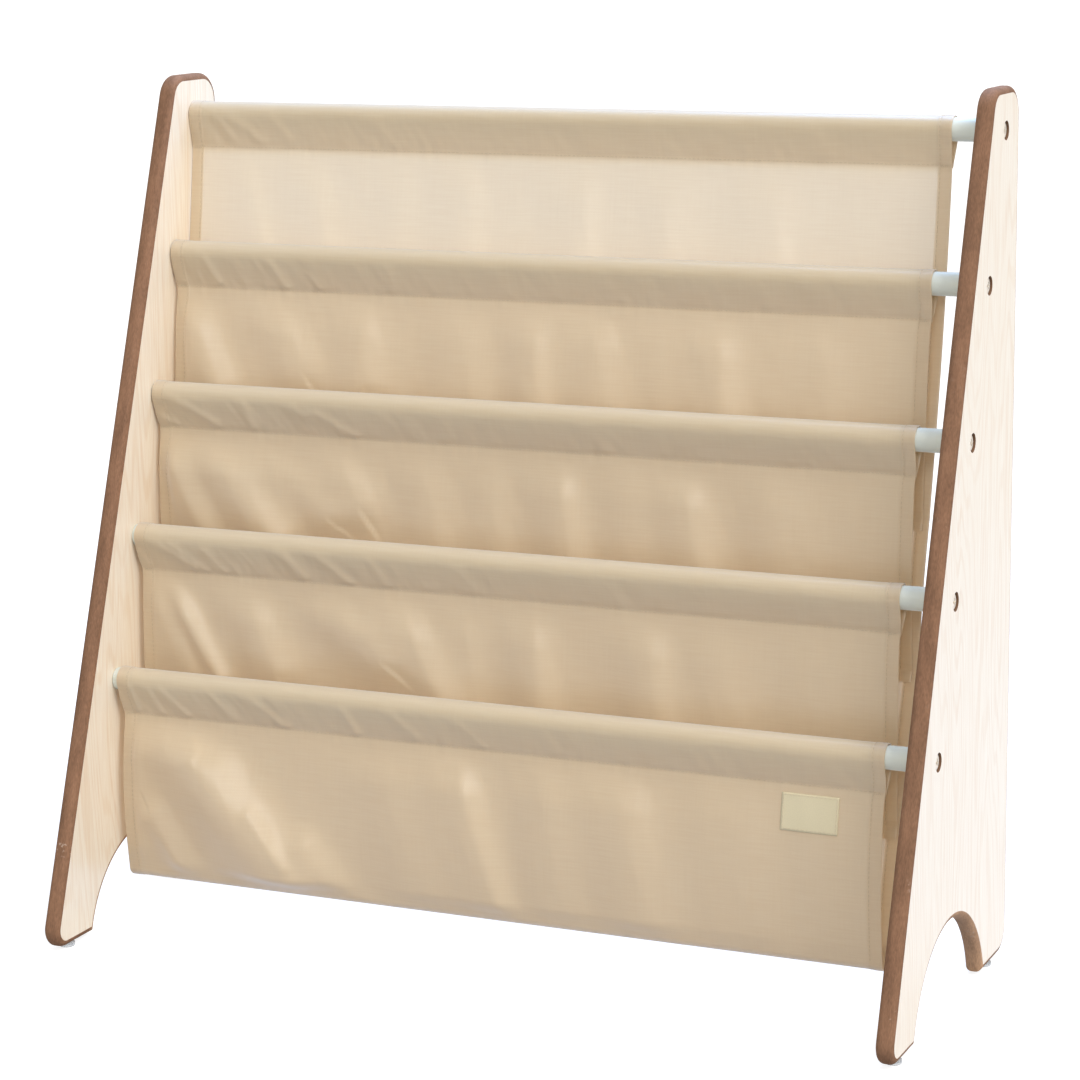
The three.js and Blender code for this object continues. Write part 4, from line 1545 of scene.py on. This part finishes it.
def add_stitch(bm, spindle, sheet, start, end, proud):
    """One stitch: the spindle laid from start to end on the cloth's face."""
    thread = sheet.cloth.thread
    lift = proud + math.copysign(thread / 4, proud)
    middle = ((start[0] + end[0]) / 2, (start[1] + end[1]) / 2)
    first, last = sheet.place(*start, lift), sheet.place(*end, lift)
    along = last - first
    sideways = (sheet.place(*middle, 1 * MM) - sheet.place(*middle)).cross(along).normalized()
    out = along.cross(sideways).normalized()
    turn = Matrix((sideways * thread, out * thread * THREAD_FLATNESS, along)).transposed().to_4x4()
    place = Matrix.Translation((first + last) / 2) @ turn
    spindle.transform(place)
    bm.from_mesh(spindle)
    spindle.transform(place.inverted())


def sew_line(bm, spindle, sheet, start, end, proud, pitch=None):
    """A straight run of stitches between two places on the flat cloth."""
    run_x, run_y = end[0] - start[0], end[1] - start[1]
    count = max(round(math.hypot(run_x, run_y) / (pitch or sheet.cloth.stitch_pitch)), 1)
    filled = sheet.cloth.stitch / sheet.cloth.stitch_pitch
    for number in range(count):
        shares = (number / count, (number + filled) / count)
        ends = [(start[0] + run_x * share, start[1] + run_y * share) for share in shares]
        add_stitch(bm, spindle, sheet, *ends, proud)


def sew_sheet(bm, spindle, sheet, hem_end):
    """The stitch lines that show on a sheet: along its sleeve, and down its two side hems."""
    cloth = sheet.cloth
    inset = cloth.hem - HEM_STITCH_INSET
    top = sheet.stitch - SEWN_FACE
    right = sheet.width - STITCH_END
    sew_line(bm, spindle, sheet, (STITCH_END, sheet.stitch), (right, sheet.stitch), STITCH_LIFT)
    for across in (inset, sheet.width - inset):
        sew_line(bm, spindle, sheet, (across, top), (across, hem_end), STITCH_LIFT)
    down = sheet.stitch + BACK_TACK_DROP
    for across in (STITCH_END, right - BACK_TACK_LENGTH):
        end = (across + BACK_TACK_LENGTH, down)
        sew_line(bm, spindle, sheet, (across, down), end, STITCH_LIFT, BACK_TACK_PITCH)


def finish_thread(bm, spindle, name, finish):
    """The sewn stitches as one piece; the spindle that they were copied from goes."""
    bpy.data.meshes.remove(spindle)
    return settle_piece(to_object(bm, name, [finish]), "sling_cloth")


def back_sheet_hung(cloth):
    """The back sheet with its seams marked where the pockets are sewn on."""
    lines = SlingLines(cloth)
    line, start = lines.back()
    sheet = HungSheet(cloth, 0, line, start, None, BACK_FOLDS, BACK_CREASES, BACK_SEED)
    seams = [sheet.travel[start + BACK_STEPS * number] for number in (1, 2, 3)]
    sheet.foot = seams[0]
    sheet.sewn += [*seams, sheet.length - LOWER_EDGE_SEWN]
    return sheet


def pocket_hung(cloth, index):
    """One pocket panel as it hangs."""
    line, start, foot = SlingLines(cloth).pocket(index)
    folds, creases = POCKET_FOLDS[index], SLEEVE_CREASES[index]
    sheet = HungSheet(cloth, index + 1, line, start, foot, folds, creases, POCKET_SEEDS[index])
    if index == len(POCKET_FOLDS) - 1:
        sheet.give = BOTTOM_GIVE
    return sheet


def cloth_finishes():
    """The cloth's and the thread's materials, made once."""
    cloth = bpy.context.scene.shelf_cloth
    known = bpy.data.materials
    return (
        known.get("plain_woven_polyester") or woven_polyester_material(cloth),
        known.get("spun_polyester_thread") or sewing_thread_material(cloth),
    )


class SHELF_OT_back_sheet(bpy.types.Operator):
    """Hang the back sheet from the top rod and sew the seams that show behind"""

    bl_idname = "shelf.back_sheet"
    bl_label = "Back sheet"

    def execute(self, context):
        cloth = context.scene.shelf_cloth
        weave, thread = cloth_finishes()
        sheet = back_sheet_hung(cloth)
        piece = make_sheet(sheet, BACK_ROWS, "sling_back", weave)
        bm, spindle = bmesh.new(), thread_spindle()
        sew_sheet(bm, spindle, sheet, sheet.length - STITCH_END)
        behind = -STITCH_LIFT - 2 * cloth.hem_turn
        for sewn in sheet.sewn[1:]:
            sew_line(bm, spindle, sheet, (SEAM_END, sewn), (sheet.width - SEAM_END, sewn), behind)
        stitches = finish_thread(bm, spindle, "back_stitching", thread)
        settle_piece(piece, "sling_cloth", "back_sheet")
        return {"FINISHED"}


class SHELF_OT_pockets(bpy.types.Operator):
    """Hang the four pocket panels with their folds and stitching"""

    bl_idname = "shelf.pockets"
    bl_label = "Pockets"

    def execute(self, context):
        cloth = context.scene.shelf_cloth
        weave, thread = cloth_finishes()
        for index in range(len(POCKET_FOLDS)):
            sheet = pocket_hung(cloth, index)
            piece = make_sheet(sheet, POCKET_ROWS, f"sling_pocket_{index + 1}", weave)
            bm, spindle = bmesh.new(), thread_spindle()
            sew_sheet(bm, spindle, sheet, sheet.foot)
            stitches = finish_thread(bm, spindle, f"pocket_stitching_{index + 1}", thread)
            settle_piece(piece, "sling_cloth", f"pocket_panel_{index + 1}")
        return {"FINISHED"}


class SHELF_OT_label(bpy.types.Operator):
    """Sew a blank label of woven tape on the bottom pocket"""

    bl_idname = "shelf.label"
    bl_label = "Blank label"

    def execute(self, context):
        cloth = context.scene.shelf_cloth
        tape = woven_tape_material(cloth)
        sheet = pocket_hung(cloth, len(POCKET_FOLDS) - 1)
        left = sheet.width - cloth.label_from_right - cloth.label_width
        top = sheet.stitch + cloth.label_below_stitch
        bm = bmesh.new()
        bmesh.ops.create_grid(bm, x_segments=LABEL_COLUMNS, y_segments=LABEL_ROWS, size=0.5)
        layer = bm.loops.layers.uv.new("flat_cloth")
        for face in bm.faces:
            face.smooth = True
            for loop in face.loops:
                share = loop.vert.co
                loop[layer].uv = ((share.x + 0.5) * cloth.label_width, (share.y + 0.5) * cloth.label_height)
        for vert in bm.verts:
            across = left + (vert.co.x + 0.5) * cloth.label_width
            down = top + (0.5 - vert.co.y) * cloth.label_height
            vert.co = sheet.place(across, down, LABEL_LIFT)
        piece = to_object(bm, "tape_label", [tape])
        wall = piece.modifiers.new("thickness", "SOLIDIFY")
        wall.thickness = cloth.label_thickness
        wall.offset = 1
        bm, spindle = bmesh.new(), thread_spindle()
        inset = LABEL_STITCH_INSET
        right, bottom = left + cloth.label_width - inset, top + cloth.label_height - inset
        corners = [(left + inset, top + inset), (right, top + inset), (right, bottom), (left + inset, bottom)]
        for start, end in zip(corners, corners[1:] + corners[:1]):
            sew_line(bm, spindle, sheet, start, end, LABEL_LIFT + cloth.label_thickness)
        stitches = finish_thread(bm, spindle, "label_stitching", cloth_finishes()[1])
        settle_piece(piece, "label_cloth", "blank_label")
        return {"FINISHED"}


# Stage


def place_camera(stage):
    """A camera at the photograph's viewing angle."""
    yaw, pitch, roll = stage.camera_yaw, stage.camera_pitch, stage.camera_roll
    ahead = Vector((-math.sin(yaw) * math.cos(pitch), math.cos(yaw) * math.cos(pitch), -math.sin(pitch)))
    level = Vector((math.cos(yaw), math.sin(yaw), 0))
    above = level.cross(ahead)
    right = level * math.cos(roll) + above * math.sin(roll)
    up = above * math.cos(roll) - level * math.sin(roll)
    data = bpy.data.cameras.new("camera")
    data.sensor_width = SENSOR_WIDTH
    data.lens = stage.lens
    data.shift_y = stage.shift
    data.clip_end = VIEW_DEPTH
    camera = bpy.data.objects.new("camera", data)
    turn = Matrix((right, up, -ahead)).transposed().to_4x4()
    camera.matrix_world = Matrix.Translation(stage.camera_place) @ turn
    bpy.context.collection.objects.link(camera)
    bpy.context.scene.camera = camera


def seen_directly(tree):
    """1 for what the camera sees itself or in gloss or glass, and 0 for light on the shelf."""
    path = add_node(tree, "ShaderNodeLightPath")
    gloss = add_node(
        tree,
        "ShaderNodeMath",
        {"operation": "ADD", "use_clamp": True},
        {0: path.outputs["Is Camera Ray"], 1: path.outputs["Is Glossy Ray"]},
    )
    return add_node(
        tree,
        "ShaderNodeMath",
        {"operation": "ADD", "use_clamp": True},
        {0: gloss.outputs[0], 1: path.outputs["Is Transmission Ray"]},
    ).outputs[0]


def light_world(stage):
    """Even white light from all round, which the camera sees as plain white."""
    world = bpy.data.worlds.new("white_room")
    bpy.context.scene.world = world
    world.use_nodes = True
    tree = world.node_tree
    tree.nodes.clear()
    strength = add_node(
        tree,
        "ShaderNodeMapRange",
        inputs={"Value": seen_directly(tree), "To Min": stage.sky_strength, "To Max": 1.0},
    )
    sky = add_node(
        tree, "ShaderNodeBackground", inputs={"Color": (1, 1, 1, 1), "Strength": strength.outputs[0]}
    )
    output = add_node(tree, "ShaderNodeOutputWorld", inputs={"Surface": sky.outputs[0]})
    output.is_active_output = True


def add_lamp(name, kind, direction, energy):
    """A lamp that shines along a direction."""
    data = bpy.data.lights.new(name, kind)
    data.energy = energy
    lamp = bpy.data.objects.new(name, data)
    lamp.rotation_mode = "QUATERNION"
    lamp.rotation_quaternion = Vector(direction).to_track_quat("-Z", "Y")
    bpy.context.collection.objects.link(lamp)
    return lamp


def white_floor_material(stage):
    """Matt white floor: keeps shadows, and a little light of its own where it is seen makes it white."""
    material, tree, surface = new_material("matt_white_floor")
    place = add_node(tree, "ShaderNodeTexCoord").outputs["Object"]
    grit = add_node(tree, "ShaderNodeTexNoise", inputs={"Vector": place, "Scale": 0.9 / MM, "Detail": 2})
    bump = add_node(
        tree, "ShaderNodeBump", inputs={"Height": grit.outputs["Fac"], "Strength": 0.1, "Distance": 0.05 * MM}
    )
    matt = add_node(
        tree,
        "ShaderNodeBsdfDiffuse",
        inputs={"Color": opaque(stage.floor_colour), "Normal": bump.outputs[0]},
    )
    glow_strength = add_node(
        tree, "ShaderNodeMath", {"operation": "MULTIPLY"}, {0: seen_directly(tree), 1: stage.floor_glow}
    )
    glow = add_node(
        tree, "ShaderNodeEmission", inputs={"Color": (1, 1, 1, 1), "Strength": glow_strength.outputs[0]}
    )
    both = add_node(tree, "ShaderNodeAddShader", inputs={0: matt.outputs[0], 1: glow.outputs[0]})
    tree.links.new(both.outputs[0], surface)
    return material


class SHELF_OT_stage(bpy.types.Operator):
    """Set up the camera, the white floor and the soft lights"""

    bl_idname = "shelf.stage"
    bl_label = "Stage"

    def execute(self, context):
        stage = context.scene.shelf_stage
        place_camera(stage)
        light_world(stage)
        key = add_lamp("key_light", "SUN", KEY_DIRECTION, stage.key_strength)
        key.data.angle = KEY_WIDTH
        key.data.color = stage.key_colour
        front = add_lamp("front_light", "SUN", FRONT_DIRECTION, stage.front_strength)
        front.data.angle = FRONT_WIDTH
        front.data.color = stage.front_colour
        away = Vector((0, 0, REAR_AIM_SHARE * CAD_BOX[1].z)) - Vector(stage.rear_place)
        rear = add_lamp("rear_light", "AREA", away, stage.rear_strength)
        rear.location = stage.rear_place
        rear.data.size = REAR_LAMP_SIZE
        rear.data.color = stage.rear_colour
        bm = bmesh.new()
        bmesh.ops.create_grid(bm, x_segments=1, y_segments=1, size=stage.floor_size / 2)
        floor = to_object(bm, "floor", [white_floor_material(stage)])
        context.scene.view_settings.view_transform = "Standard"
        return {"FINISHED"}


class SHELF_PT_pieces(bpy.types.Panel):
    """The shelf's pieces and the stage, in the sidebar"""

    bl_idname = "SHELF_PT_pieces"
    bl_label = "Sling bookshelf"
    bl_space_type = "VIEW_3D"
    bl_region_type = "UI"
    bl_category = "Bookshelf"

    def draw(self, context):
        for operator in OPERATORS:
            self.layout.operator(operator.bl_idname)


OPERATORS = (
    SHELF_OT_stage,
    SHELF_OT_side_boards,
    SHELF_OT_rods,
    SHELF_OT_screws,
    SHELF_OT_inserts,
    SHELF_OT_glides,
    SHELF_OT_back_sheet,
    SHELF_OT_pockets,
    SHELF_OT_label,
)
SETTINGS = {
    "shelf_board": BoardSettings,
    "shelf_fittings": FittingSettings,
    "shelf_cloth": ClothSettings,
    "shelf_stage": StageSettings,
}


def register():
    for group in SETTINGS.values():
        bpy.utils.register_class(group)
    for name, group in SETTINGS.items():
        setattr(bpy.types.Scene, name, bpy.props.PointerProperty(type=group))
    for operator in OPERATORS:
        bpy.utils.register_class(operator)
    bpy.utils.register_class(SHELF_PT_pieces)


def unregister():
    bpy.utils.unregister_class(SHELF_PT_pieces)
    for operator in reversed(OPERATORS):
        bpy.utils.unregister_class(operator)
    for name in SETTINGS:
        delattr(bpy.types.Scene, name)
    for group in SETTINGS.values():
        bpy.utils.unregister_class(group)


def main():
    """Make every piece in order."""
    register()
    bpy.ops.shelf.stage()
    bpy.ops.shelf.side_boards()
    bpy.ops.shelf.rods()
    bpy.ops.shelf.screws()
    bpy.ops.shelf.inserts()
    bpy.ops.shelf.glides()
    bpy.ops.shelf.back_sheet()
    bpy.ops.shelf.pockets()
    bpy.ops.shelf.label()


if __name__ == "__main__":
    main()
